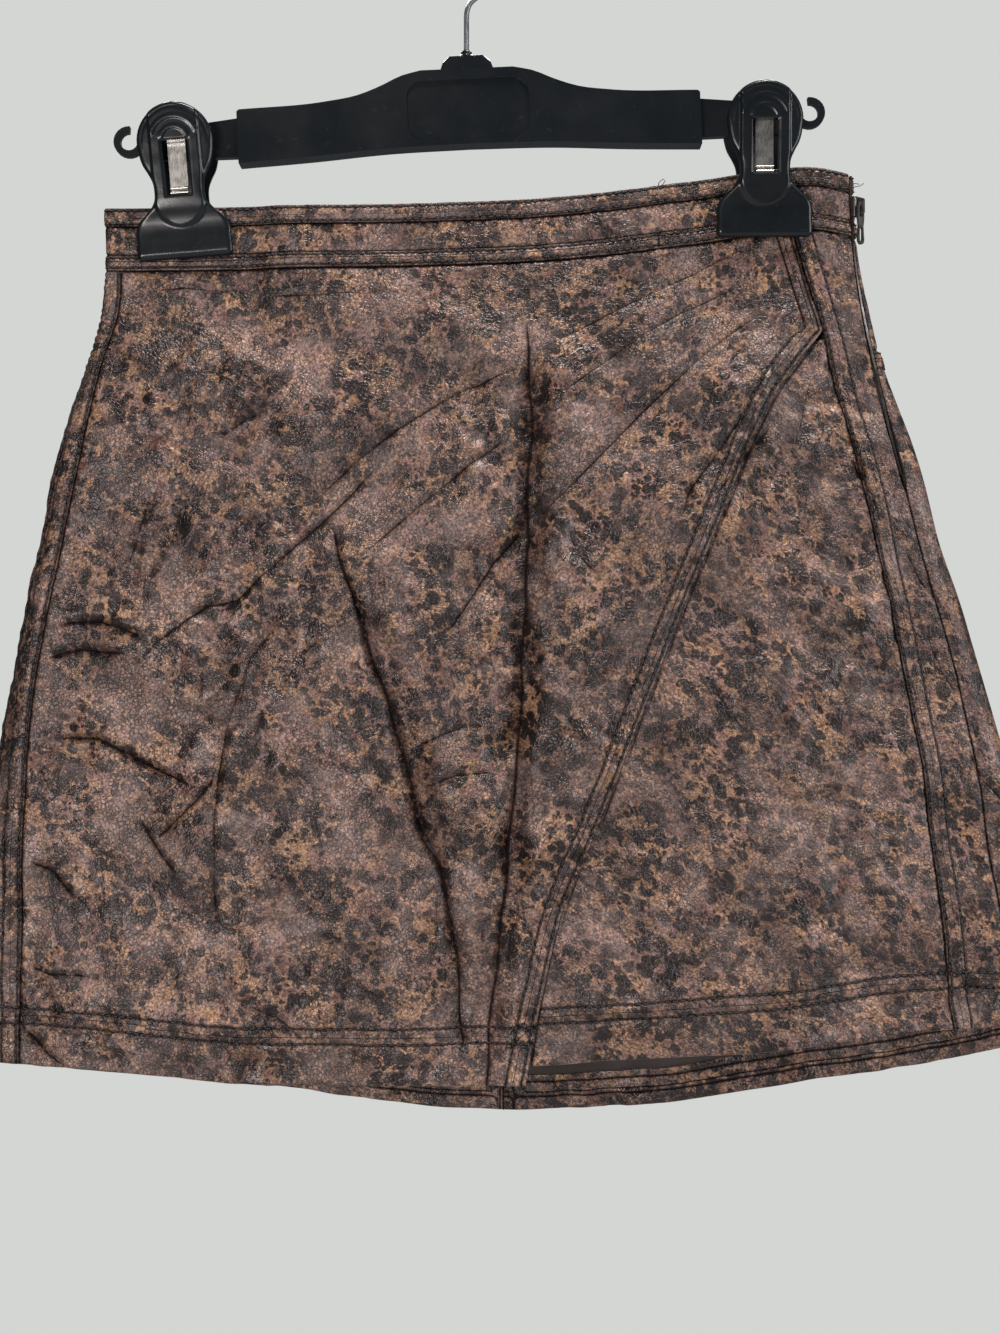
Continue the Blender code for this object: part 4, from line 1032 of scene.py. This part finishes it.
# ---------------------------------------------------------------- materials
class Nodes:
    """Short names for the nodes of one material."""

    def __init__(self, name):
        self.material = bpy.data.materials.new(name)
        self.material.use_nodes = True
        self.tree = self.material.node_tree
        self.shader = self.tree.nodes["Principled BSDF"]

    def node(self, kind, **values):
        made = self.tree.nodes.new(kind)
        for key, value in values.items():
            setattr(made, key, value)
        return made

    def put(self, socket, value):
        if isinstance(value, bpy.types.NodeSocket):
            self.tree.links.new(value, socket)
        else:
            socket.default_value = value

    def vector(self, operation, a, b):
        """Two places added, subtracted or multiplied, or one scaled by a number."""
        made = self.node("ShaderNodeVectorMath", operation=operation)
        self.put(made.inputs[0], a)
        self.put(made.inputs["Scale" if operation == "SCALE" else 1], b)
        return made.outputs[0]

    def coordinates(self, kind="UV"):
        """Places in millimetres."""
        return self.vector("SCALE", self.node("ShaderNodeTexCoord").outputs[kind], 1 / MM)

    def noise(self, where, size, detail=2.0, rough=0.5, offset=0.0, out="Factor"):
        """Noise with features of about that size, in millimetres."""
        made = self.node("ShaderNodeTexNoise", noise_dimensions="3D")
        moved = self.vector("ADD", where, (offset, offset * 0.7, offset * 0.3))
        self.put(made.inputs["Vector"], moved)
        made.inputs["Scale"].default_value = 1.0 / size
        made.inputs["Detail"].default_value = detail
        made.inputs["Roughness"].default_value = rough
        return made.outputs["Color" if out == "Color" else 0]

    def cells(self, where, size, feature="F1", out="Distance"):
        made = self.node("ShaderNodeTexVoronoi", voronoi_dimensions="3D", feature=feature)
        self.put(made.inputs["Vector"], where)
        made.inputs["Scale"].default_value = 1.0 / size
        return made.outputs[out]

    def bands(self, where, direction, scale, distortion=0.0):
        made = self.node("ShaderNodeTexWave", wave_type="BANDS", bands_direction=direction)
        self.put(made.inputs["Vector"], where)
        made.inputs["Scale"].default_value = scale
        made.inputs["Distortion"].default_value = distortion
        return made.outputs[0]

    def math(self, operation, a, b=0.0):
        made = self.node("ShaderNodeMath", operation=operation)
        self.put(made.inputs[0], a)
        self.put(made.inputs[1], b)
        return made.outputs[0]

    def times(self, a, b):
        return self.math("MULTIPLY", a, b)

    def plus(self, *terms):
        return reduce(lambda a, b: self.math("ADD", a, b), terms)

    def most(self, *values):
        return reduce(lambda a, b: self.math("MAXIMUM", a, b), values)

    def ramp(self, value, low, high, to_low=0.0, to_high=1.0):
        made = self.node("ShaderNodeMapRange", interpolation_type="SMOOTHSTEP")
        self.put(made.inputs["Value"], value)
        for key, number in (("From Min", low), ("From Max", high), ("To Min", to_low),
                            ("To Max", to_high)):
            self.put(made.inputs[key], number)
        return made.outputs["Result"]

    def mix(self, share, a, b, blend="MIX"):
        made = self.node("ShaderNodeMix", data_type="RGBA", blend_type=blend)
        self.put(made.inputs[0], share)
        for socket, value in ((made.inputs[6], a), (made.inputs[7], b)):
            self.put(socket, (*value, 1.0) if isinstance(value, tuple) else value)
        return made.outputs[2]

    def shaded(self, colour, tone):
        """A colour made darker or lighter by a number."""
        return self.vector("SCALE", colour, tone)

    def warp(self, where, size, amount):
        """The place pushed about by noise."""
        shift = self.vector("SUBTRACT", self.noise(where, size, out="Color"), (0.5, 0.5, 0.5))
        return self.vector("ADD", where, self.vector("SCALE", shift, amount))

    def bump(self, height, distance, strength=1.0, normal=None):
        made = self.node("ShaderNodeBump")
        self.put(made.inputs["Height"], height)
        made.inputs["Distance"].default_value = distance
        made.inputs["Strength"].default_value = strength
        if normal is not None:
            self.put(made.inputs["Normal"], normal)
        return made.outputs["Normal"]

    def finish(self, **sockets):
        for key, value in sockets.items():
            socket = self.shader.inputs[key.replace("_", " ")]
            self.put(socket, (*value, 1.0) if isinstance(value, tuple) and len(value) == 3
                     and socket.type == "RGBA" else value)
        return self.material


OCHRE = (0.195, 0.110, 0.060)
TAN = (0.195, 0.108, 0.063)
MAUVE = (0.120, 0.066, 0.054)
# Pale mauve-grey painted sheen, laid over the print in broad patches.
PAINTED_SHEEN = (0.185, 0.126, 0.112)
RUST = (0.060, 0.025, 0.018)
UMBER = (0.024, 0.013, 0.010)
CHARCOAL = (0.0022, 0.0019, 0.0022)
# Painted shade, for the creases, seams, rows of stitches and the grain's grooves.
PAINTED_SHADE_COLOUR = (0.005, 0.003, 0.003)
Patch = namedtuple("Patch", "colour size offset low high share")
GROUND = (             # the colours that lie on the mauve, from the first to the last
    Patch(TAN, 15.0, 5.0, 0.44, 0.58, 1.0),
    Patch(OCHRE, 9.0, 91.0, 0.53, 0.63, 1.0),
    Patch(RUST, 19.0, 171.0, 0.52, 0.62, 0.8),
)
Spots = namedtuple("Spots", "size reach group low high ragged offset")
SPOTS = (
    Spots(2.3, 0.50, 8.0, 0.58, 0.70, 0.26, 113.0),
    Spots(4.5, 0.56, 11.0, 0.565, 0.60, 0.24, 211.0),
    Spots(6.6, 0.52, 22.0, 0.575, 0.60, 0.22, 307.0),
)
SPOT_EDGE = 0.10       # how soft a spot's edge is, in its cells' sizes
SPOT_CHANCE = 0.24     # how much of a spot's chance is its own, and not its group's


def ground_colour(n, where):
    """Tan, ochre and rust patches on mauve, with a dark speckle."""
    wavy = n.warp(where, 6.0, 5.0)
    base = MAUVE
    for patch in GROUND:
        share = n.ramp(n.noise(wavy, patch.size, 4.0, 0.65, patch.offset), patch.low, patch.high,
                       0.0, patch.share)
        base = n.mix(share, base, patch.colour)
    speckle = n.ramp(n.noise(where, 1.9, 3.0, 0.7, 33.0), 0.48, 0.62)
    thick = n.ramp(n.noise(where, 8.0, 3.0, 0.6, 57.0), 0.38, 0.64, 0.15, 0.80)
    return n.mix(n.times(speckle, thick), base, UMBER)


def spot_share(n, where, spot):
    """1 inside the spots of one size, with ragged edges and grain."""
    moved = n.vector("ADD", n.warp(n.warp(where, 4.0, 3.0), 1.5, 0.9), (spot.offset, spot.offset, 0))
    ragged = n.times(n.noise(where, 1.3, 3.0, 0.7, spot.offset), spot.ragged)
    near = n.plus(n.cells(moved, spot.size), ragged)
    own = n.node("ShaderNodeSeparateColor")
    n.put(own.inputs[0], n.cells(moved, spot.size, out="Color"))
    chance = n.ramp(n.plus(n.times(own.outputs[0], SPOT_CHANCE),
                           n.noise(where, spot.group, 2.0, 0.5, spot.offset)), spot.low, spot.high)
    reach = spot.reach + spot.ragged / 2
    inside = n.ramp(near, reach, reach - SPOT_EDGE)
    grainy = n.ramp(n.noise(where, 1.1, 2.0, 0.6, spot.offset + 9), 0.30, 0.55, 0.80, 0.99)
    return n.times(n.times(inside, chance), grainy)


def print_colour(n, where):
    """Lobed charcoal spots in loose groups over the speckled ground."""
    base = ground_colour(n, where)
    for spot in SPOTS:
        base = n.mix(spot_share(n, where, spot), base, CHARCOAL)
    return base


def line(n, gap, width):
    """1 on a line, 0 away from it."""
    share = n.math("DIVIDE", gap, width)
    return n.math("EXPONENT", n.times(n.times(share, share), -1.0))


def mark(n, name):
    return n.node("ShaderNodeAttribute", attribute_name=name).outputs["Fac"]


def crackled(n, where):
    """The fine crackle, and how light or dark it and broad random patches make the colour."""
    crackle = n.noise(n.warp(where, 2.4, 1.6), 1.0, 2.0, 0.55, 45.0)
    broad_tone = n.ramp(n.noise(n.warp(where, 30.0, 18.0), 34.0, 2.0, 0.5, 905.0), 0.38, 0.62, 0.74, 1.20)
    return crackle, n.times(n.ramp(crackle, 0.35, 0.63, 0.48, 1.36), broad_tone)


def lines_and_painted_shade(n):
    """The creases' and rows' thin lines, and the painted shade that they and the seams give."""
    crease = mark(n, "crease")
    sharp = n.math("MINIMUM", crease, 1.0)
    breadth = n.plus(n.times(crease, 0.34), 0.26)
    thin = n.times(line(n, mark(n, "crease_gap"), breadth), sharp)
    # A broader painted shade either side of a crease.
    wide = n.times(line(n, mark(n, "crease_gap"), 2.2), sharp)
    row = line(n, mark(n, "row_gap"), 0.68)
    seam = line(n, mark(n, "seam_gap"), 0.7)
    shade = n.most(n.times(thin, 0.97), n.times(seam, 0.9), n.times(row, 0.96), n.times(wide, 0.48))
    return thin, row, shade


def leather():
    n = Nodes("printed_leather")
    where = n.coordinates()
    # Where the painted sheen lies, in broad patches.
    sheen_patches = n.ramp(n.noise(n.warp(where, 40.0, 24.0), 30.0, 3.0, 0.6, 811.0), 0.47, 0.66, 0.0, 0.48)
    crackle, tone = crackled(n, where)
    thin, row, shade = lines_and_painted_shade(n)
    grain = n.ramp(n.cells(n.warp(where, 3.0, 1.4), 1.75, "DISTANCE_TO_EDGE"), 0.0, 0.22)
    fine = n.noise(where, 0.45, 3.0, 0.6, 3.0)
    pores = n.plus(n.times(grain, 0.6), n.times(crackle, 0.7), n.times(fine, 0.3))
    deep = n.ramp(n.noise(where, 14.0, 2.0, 0.5, 7.0), 0.35, 0.65, 0.4, 1.0)
    normal = n.bump(n.noise(n.warp(where, 20.0, 14.0), 13.0, 2.0, 0.5, 601.0), 0.0034, 0.6)
    normal = n.bump(n.noise(n.warp(where, 9.0, 6.0), 5.5, 3.0, 0.6, 401.0), 0.0014, 0.6, normal)
    normal = n.bump(n.times(pores, deep), 0.00034, 0.9, normal)
    normal = n.bump(n.times(n.most(thin, n.times(row, 0.6)), -1.0), 0.00035, 0.8, normal)
    colour = n.shaded(n.mix(sheen_patches, print_colour(n, where), PAINTED_SHEEN), tone)
    # Painted shade in the grain's grooves, stronger where the pores' bump is deeper.
    colour = n.mix(n.times(n.ramp(grain, 0.6, 0.0, 0.0, 0.75), deep), colour, PAINTED_SHADE_COLOUR)
    # Painted shade along the creases, seams and rows of stitches.
    colour = n.mix(shade, colour, PAINTED_SHADE_COLOUR)
    rough = n.plus(n.ramp(n.noise(where, 20.0, 3.0, 0.6, 77.0), 0.3, 0.7, 0.36, 0.50),
                   n.times(grain, -0.04))
    gloss = n.ramp(shade, 0.15, 0.95, 0.42, 0.03)
    return n.finish(Base_Color=colour, Roughness=rough, Normal=normal, Specular_IOR_Level=gloss,
                    Specular_Tint=(1.0, 0.86, 0.84))


def backing():
    n = Nodes("leather_backing")
    where = n.coordinates()
    weave = n.noise(where, 0.7, 3.0, 0.6, 2.0)
    nap = n.noise(where, 12.0, 3.0, 0.6, 12.0)
    colour = n.mix(nap, (0.011, 0.0065, 0.006), (0.020, 0.012, 0.010))
    colour = n.mix(n.ramp(weave, 0.3, 0.7, 0.0, 0.5), colour, (0.028, 0.018, 0.016))
    return n.finish(Base_Color=colour, Roughness=n.ramp(weave, 0.3, 0.7, 0.82, 0.94),
                    Normal=n.bump(weave, 0.0002, 0.7), Sheen_Weight=0.25, Sheen_Roughness=0.5)


def thread():
    n = Nodes("thread")
    where = n.coordinates("Object")
    ply = n.bands(where, "DIAGONAL", 1.1, 0.6)
    fuzz = n.noise(where, 0.35, 2.0)
    colour = n.mix(fuzz, (0.004, 0.0035, 0.004), (0.010, 0.008, 0.008))
    return n.finish(Base_Color=colour, Roughness=n.ramp(fuzz, 0.3, 0.7, 0.55, 0.72),
                    Normal=n.bump(n.plus(ply, fuzz), 0.00012, 0.8))


def plastic():
    n = Nodes("hanger_plastic")
    where = n.coordinates("Object")
    skin = n.noise(where, 0.55, 3.0, 0.6)
    flow = n.noise(n.warp(where, 30.0, 8.0), 40.0, 3.0, 0.6, 9.0)
    scuffs = n.ramp(n.noise(n.warp(where, 6.0, 5.0), 3.0, 4.0, 0.7, 19.0), 0.60, 0.75)
    colour = n.mix(flow, (0.0030, 0.0042, 0.0052), (0.0054, 0.0068, 0.0082))
    colour = n.mix(n.times(scuffs, 0.10), colour, (0.030, 0.033, 0.036))
    rough = n.plus(n.ramp(flow, 0.3, 0.7, 0.24, 0.33), n.times(scuffs, 0.12))
    wave = n.bump(flow, 0.0016, 0.25)
    return n.finish(Base_Color=colour, Roughness=rough, Specular_IOR_Level=0.26,
                    Normal=n.bump(skin, 0.00005, 0.5, wave))


def brushed(name, dark, light, rough, along=(1.0, 1.0, 0.08)):
    n = Nodes(name)
    where = n.coordinates("Object")
    lines = n.noise(n.vector("MULTIPLY", where, along), 0.25, 3.0, 0.6)
    tarnish = n.noise(where, 5.0, 3.0, 0.6, 21.0)
    colour = n.mix(n.ramp(tarnish, 0.3, 0.7), dark, light)
    return n.finish(Base_Color=colour, Metallic=1.0,
                    Roughness=n.plus(n.ramp(lines, 0.3, 0.7, rough - 0.06, rough + 0.08),
                                     n.times(tarnish, 0.08)),
                    Normal=n.bump(lines, 0.00004, 0.5))


def tape():
    n = Nodes("zip_tape")
    where = n.coordinates("Object")
    ribs = n.bands(where, "Z", 0.5)
    weave = n.noise(where, 0.4, 2.0)
    colour = n.mix(weave, (0.012, 0.009, 0.008), (0.03, 0.022, 0.02))
    return n.finish(Base_Color=colour, Roughness=n.ramp(weave, 0.3, 0.7, 0.8, 0.92),
                    Normal=n.bump(n.plus(ribs, weave), 0.00015, 0.8),
                    Sheen_Weight=0.2)


LEATHER = leather()
BACKING = backing()
THREAD = thread()
PLASTIC = plastic()
STEEL = brushed("spring_steel", (0.40, 0.38, 0.35), (0.62, 0.59, 0.54), 0.27)
WIRE_STEEL = brushed("hook_steel", (0.48, 0.48, 0.48), (0.66, 0.66, 0.65), 0.22)
ZIP_METAL = brushed("zip_metal", (0.075, 0.068, 0.066), (0.14, 0.128, 0.122), 0.34)
TAPE = tape()


# ---------------------------------------------------------------- CAD nodes that stay
KEPT = (
    (("zip_tape",), TAPE, "zip_tape"),
    (("zip_chain", "zip_slider", "zip_pull"), ZIP_METAL, "zip_metal"),
    (("hanger_bar", "hanger_arm_left", "hanger_arm_right", "hanger_collar", "hook_nut",
      "clip_front_left", "clip_front_right", "clip_back_left", "clip_back_right"),
     PLASTIC, "hanger_plastic"),
    (("clip_spring_left", "clip_spring_right"), STEEL, "hanger_steel"),
    (("hanger_hook",), WIRE_STEEL, "hanger_steel"),
)


def dress_kept_nodes():
    for names, material, slot in KEPT:
        for name in names:
            node = NODES[name]
            node.data.materials.clear()
            node.data.materials.append(material)


# ---------------------------------------------------------------- clips
Rib = namedtuple("Rib", "z half inner")
HEAD_R = 16.4
HEAD_Z = 49.4
PLATE = 3.0
JAW = (
    Rib(0.0, 19.0, 2.9), Rib(1.0, 20.3, 2.9), Rib(3.0, 20.6, 2.9), Rib(8.0, 20.5, 2.9),
    Rib(13.2, 20.3, 3.0), Rib(15.6, 19.4, 3.3), Rib(18.0, 17.0, 4.0), Rib(21.0, 13.6, 5.2),
    Rib(24.4, 11.3, 6.0), Rib(28.6, 10.7, 6.5), Rib(32.4, 11.1, 6.9), Rib(36.0, 12.6, 7.2),
    Rib(40.0, 14.7, 7.6), Rib(44.0, 15.8, 7.9), Rib(49.4, 16.4, 8.5),
)
WINDOW = (5.6, 26.5, 49.5)       # half width, low, high
TONGUE = (24.2, 11.0)            # the tongue's round end: height of its centre, radius
ARCS = (10.2, 5.8)               # radii of the two raised grip arcs on the head
ARC_HALF = 0.95
RIM_R = 14.4


def clip_half(z):
    """Half width of a clip at height z over its jaw's edge."""
    head = np.sqrt(np.clip(HEAD_R ** 2 - (z - HEAD_Z) ** 2, 0.3, None))
    return np.where(z > HEAD_Z, head, smooth(JAW, "z", "half", z))


def arc_distance(x, z, radius):
    """Distance from an arc on the head, from 20 to 160 degrees, with round ends."""
    turn = np.arctan2(z - HEAD_Z, np.abs(x))
    round_it = np.abs(np.hypot(x, z - HEAD_Z) - radius)
    end = (radius * math.cos(math.radians(20)), HEAD_Z + radius * math.sin(math.radians(20)))
    return np.where(turn > math.radians(20), round_it, np.hypot(np.abs(x) - end[0], z - end[1]))


def clip_relief(x, z, plain):
    """How far the moulded face stands out of the flat plate."""
    half = clip_half(z)
    from_head = np.hypot(x, z - HEAD_Z)
    edge = np.where(z > HEAD_Z, HEAD_R - from_head, half - np.abs(x))
    edge = np.minimum(edge, z + 0.25)
    height = -1.1 * np.exp(-(np.maximum(edge, 0) / 0.8) ** 1.4)
    height -= 1.0 * (1 - ease((z - 0.4) / 2.0)) * 0.6
    round_end, radius = TONGUE
    from_tongue = np.where(z < round_end, np.hypot(x, z - round_end), np.abs(x))
    raised = ease((radius + 0.3 - from_tongue) / 1.4)
    height += 1.0 * raised * ease((z - 8) / 6.0)
    height += 0.45 * (1 - (x / half) ** 2) * ease((z - 16) / 14.0)
    rim = np.exp(-((from_head - RIM_R) / 0.6) ** 2) * ease((z - HEAD_Z + 3) / 5.0)
    height -= 0.3 * rim
    window, low, high = WINDOW
    off = np.hypot(np.maximum(np.abs(x) - window, 0), np.maximum(np.maximum(low - z, z - high), 0))
    height -= 0.45 * np.exp(-(off / 0.5) ** 2)
    if not plain:
        for radius in ARCS:
            height += 0.3 * ease((ARC_HALF + 0.35 - arc_distance(x, z, radius)) / 0.8)
    return height


def plate_rows(step, fine):
    """Heights of the plate's rows of points, with the window's foot and head among them."""
    _, low, high = WINDOW
    tip = HEAD_Z + HEAD_R - 0.05
    past_arcs = HEAD_Z + 12.5
    return np.concatenate([
        np.linspace(0, low, round(low / step) + 1)[:-1],
        np.linspace(low, high, round((high - low) / step) + 1)[:-1],
        np.linspace(high, past_arcs, round(13 / fine) + 1)[:-1],
        np.linspace(past_arcs, tip - 0.6, 10), [tip - 0.3, tip - 0.1, tip]])


def plate_columns(rows, fine):
    """x of the points of each row, and which columns the window cuts."""
    window = WINDOW[0]
    middle = np.linspace(-1, 1, round(2 * window / fine) + 1)
    aside = np.linspace(0, 1, round(8 / fine)) ** 0.8
    half = clip_half(rows)[:, None]
    share = np.minimum(1, half / (window + 1.5))
    right = window * share + (half - window * share) * aside[None, 1:]
    x = np.concatenate([-right[:, ::-1], window * share * middle[None, :], right], axis=1)
    first = right.shape[1]
    return x, range(first, first + middle.size - 1)


def plate_faces(shape, cut):
    """Both faces of a plate without its cut part, and the rims that join them."""
    size = shape[0] * shape[1]
    index = np.arange(size).reshape(shape)
    solid = np.ones((shape[0] - 1, shape[1] - 1), bool)
    solid[np.ix_(*cut)] = False
    quads = np.stack([index[:-1, :-1], index[:-1, 1:], index[1:, 1:], index[1:, :-1]], -1)
    quads = quads[solid].tolist()
    edges = dict.fromkeys((quad[i], quad[(i + 1) % 4]) for quad in quads for i in range(4))
    rims = [[end, start, start + size, end + size] for start, end in edges
            if (end, start) not in edges]
    return quads + [[i + size for i in quad[::-1]] for quad in quads] + rims


def face_out(mesh):
    """Removes loose points, and turns every face to point out."""
    used = bmesh.new()
    used.from_mesh(mesh)
    bmesh.ops.delete(used, geom=[v for v in used.verts if not v.link_faces], context="VERTS")
    bmesh.ops.recalc_face_normals(used, faces=used.faces)
    used.to_mesh(mesh)
    used.free()


def clip_plate(name, clip, sign, step, fine):
    """A moulded plate with its window, at the front (-1) or back (+1) of the cloth."""
    _, low, high = WINDOW
    rows = plate_rows(step, fine)
    x, columns = plate_columns(rows, fine)
    z = np.broadcast_to(rows[:, None], x.shape)
    inner = smooth(JAW, "z", "inner", z) + 0.1 * np.maximum(z - HEAD_Z, 0)
    outer = inner + PLATE + clip_relief(x, z, sign > 0)
    opening = (rows[:-1] >= low - 1e-6) & (rows[1:] <= high + 1e-6)
    points = np.concatenate([np.stack([x, sign * y, z], -1).reshape(-1, 3) for y in (outer, inner)])
    mesh = bpy.data.meshes.new(name)
    mesh.from_pydata((points * MM).tolist(), [], plate_faces(x.shape, (opening, columns)))
    face_out(mesh)
    mesh.shade_smooth()
    mesh.set_sharp_from_angle(angle=math.radians(50))
    return place(name, mesh, "hanger_plastic", PLASTIC, matrix=clip_matrix(clip))


def clip_matrix(clip):
    return (Matrix.Translation(Vector((clip.x, 0, clip.z)) * MM)
            @ Matrix.Rotation(-math.radians(clip.lean), 4, "Y"))


def tube(name, points, radius, material, matrix, slot, resolution):
    """A round wire along points, in millimetres in its matrix's axes."""
    data = bpy.data.curves.new(name, "CURVE")
    data.dimensions = "3D"
    data.bevel_depth = radius * MM
    data.bevel_resolution = resolution
    data.use_fill_caps = True
    spline = data.splines.new("POLY")
    spline.points.add(len(points) - 1)
    for point, where in zip(spline.points, points):
        point.co = (*(c * MM for c in where), 1)
    spline.use_smooth = True
    place(name, data, slot, material, matrix=matrix)


def make_clips():
    for clip in CLIPS:
        for face, sign, step, fine in (("front", -1, 0.7, 0.33), ("back", 1, 1.1, 0.6)):
            made = clip_plate("jaw_" + face + "_" + clip.side, clip, sign, step, fine)
            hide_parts("clip_" + face + "_" + clip.side)
        # the spring's lower loop shows as two bright bars at the foot of the window
        for number, height in enumerate((27.6, 29.5)):
            tube("spring_bar_%s_%d" % (clip.side, number), [(-3.7, -8.0, height), (3.7, -8.0, height)],
                 0.62, STEEL, clip_matrix(clip), "hanger_steel", 4)


LOOSE_ENDS = (         # x and z along threads that stand up from the waistband
    ((82.6, -114.0), (83.0, -112.0), (83.3, -110.8), (84.4, -109.8), (85.6, -109.2)),
    ((83.6, -114.0), (84.0, -112.4), (85.2, -111.4), (86.0, -109.8)),
    ((166.0, -112.4), (166.8, -111.0), (168.4, -110.6), (170.4, -110.9)),
    ((167.4, -112.6), (168.6, -111.9), (170.8, -111.5), (172.4, -110.4)),
)
LOOSE_R = 0.17


def make_loose_ends():
    for number, path in enumerate(LOOSE_ENDS):
        x, z = path[0][0], -118.0
        y = float(plan(front_u(x, z), z)[1]) - TOP_PROUD
        tube("loose_end_%d" % number, [(x, y, z) for x, z in path], LOOSE_R, THREAD,
             Matrix.Identity(4), "thread", 2)


# ---------------------------------------------------------------- floor, light and camera
FLOOR_Z = -900.0
FLOOR_R = 940.0
CAMERA = (14.6, -962.0, -320.0)
LENS = 59.7
BACKDROP = (0.655, 0.672, 0.650)
ROOM = (0.86, 0.93, 1.0)
ROOM_LIGHT = 0.12
Light = namedtuple("Light", "name place aim size power colour")
LIGHTS = (
    Light("window", (-600, -1380, -480), (0, 0, -360), (520, 300), 23.0, (1.0, 0.95, 0.93)),
    Light("ceiling", (200, -380, 1300), (0, 0, -380), (600, 300), 46.0, (1.0, 0.95, 0.90)),
    Light("right", (1050, -420, -200), (0, 0, -330), (300, 900), 11.0, (0.96, 0.98, 1.0)),
    Light("behind", (0, 1000, 700), (0, 0, -330), (1000, 500), 22.0, (1.0, 1.0, 1.0)),
)


def make_floor():
    mesh = bpy.data.meshes.new("floor")
    disc = bmesh.new()
    bmesh.ops.create_circle(disc, cap_ends=True, segments=96, radius=FLOOR_R * MM)
    disc.to_mesh(mesh)
    disc.free()
    made = bpy.data.objects.new("floor", mesh)
    made.location = (0, 0, FLOOR_Z * MM)
    bpy.context.scene.collection.objects.link(made)
    n = Nodes("floor")
    tone = n.noise(n.coordinates("Object"), 60.0, 3.0)
    mesh.materials.append(n.finish(Base_Color=n.mix(tone, (0.37, 0.38, 0.37), (0.41, 0.42, 0.41)),
                                   Roughness=0.7))


def make_lights():
    for light in LIGHTS:
        data = bpy.data.lights.new(light.name, "AREA")
        data.shape = "RECTANGLE"
        data.size, data.size_y = (side * MM for side in light.size)
        data.energy = light.power
        data.color = light.colour
        lamp = bpy.data.objects.new(light.name, data)
        lamp.location = Vector(light.place) * MM
        toward = (Vector(light.aim) - Vector(light.place)).to_track_quat("-Z", "Y")
        lamp.rotation_euler = toward.to_euler()
        bpy.context.scene.collection.objects.link(lamp)


def make_world():
    """A pale studio behind the object, and a dimmer room that lights it."""
    world = bpy.data.worlds.new("studio")
    bpy.context.scene.world = world
    world.use_nodes = True
    tree = world.node_tree
    room = tree.nodes["Background"]
    room.inputs[0].default_value = (*ROOM, 1.0)
    room.inputs[1].default_value = ROOM_LIGHT
    pale = tree.nodes.new("ShaderNodeBackground")
    pale.inputs[0].default_value = (*BACKDROP, 1.0)
    ray = tree.nodes.new("ShaderNodeLightPath")
    mixed = tree.nodes.new("ShaderNodeMixShader")
    tree.links.new(ray.outputs["Is Camera Ray"], mixed.inputs[0])
    tree.links.new(room.outputs[0], mixed.inputs[1])
    tree.links.new(pale.outputs[0], mixed.inputs[2])
    tree.links.new(mixed.outputs[0], tree.nodes["World Output"].inputs[0])


def make_camera():
    data = bpy.data.cameras.new("camera")
    data.lens = LENS
    data.sensor_width = 36.0
    data.clip_start, data.clip_end = 0.05, 100.0
    camera = bpy.data.objects.new("camera", data)
    camera.location = Vector(CAMERA) * MM
    camera.rotation_euler = (math.pi / 2, 0, 0)
    bpy.context.scene.collection.objects.link(camera)
    bpy.context.scene.camera = camera
    bpy.context.scene.view_settings.view_transform = "Standard"


def main():
    dress_kept_nodes()
    for panel in PANELS:
        make_panel(panel)
    for strip in STRIPS:
        make_strip(strip)
    make_stitches()
    make_clips()
    make_loose_ends()
    make_floor()
    make_lights()
    make_world()
    make_camera()


main()
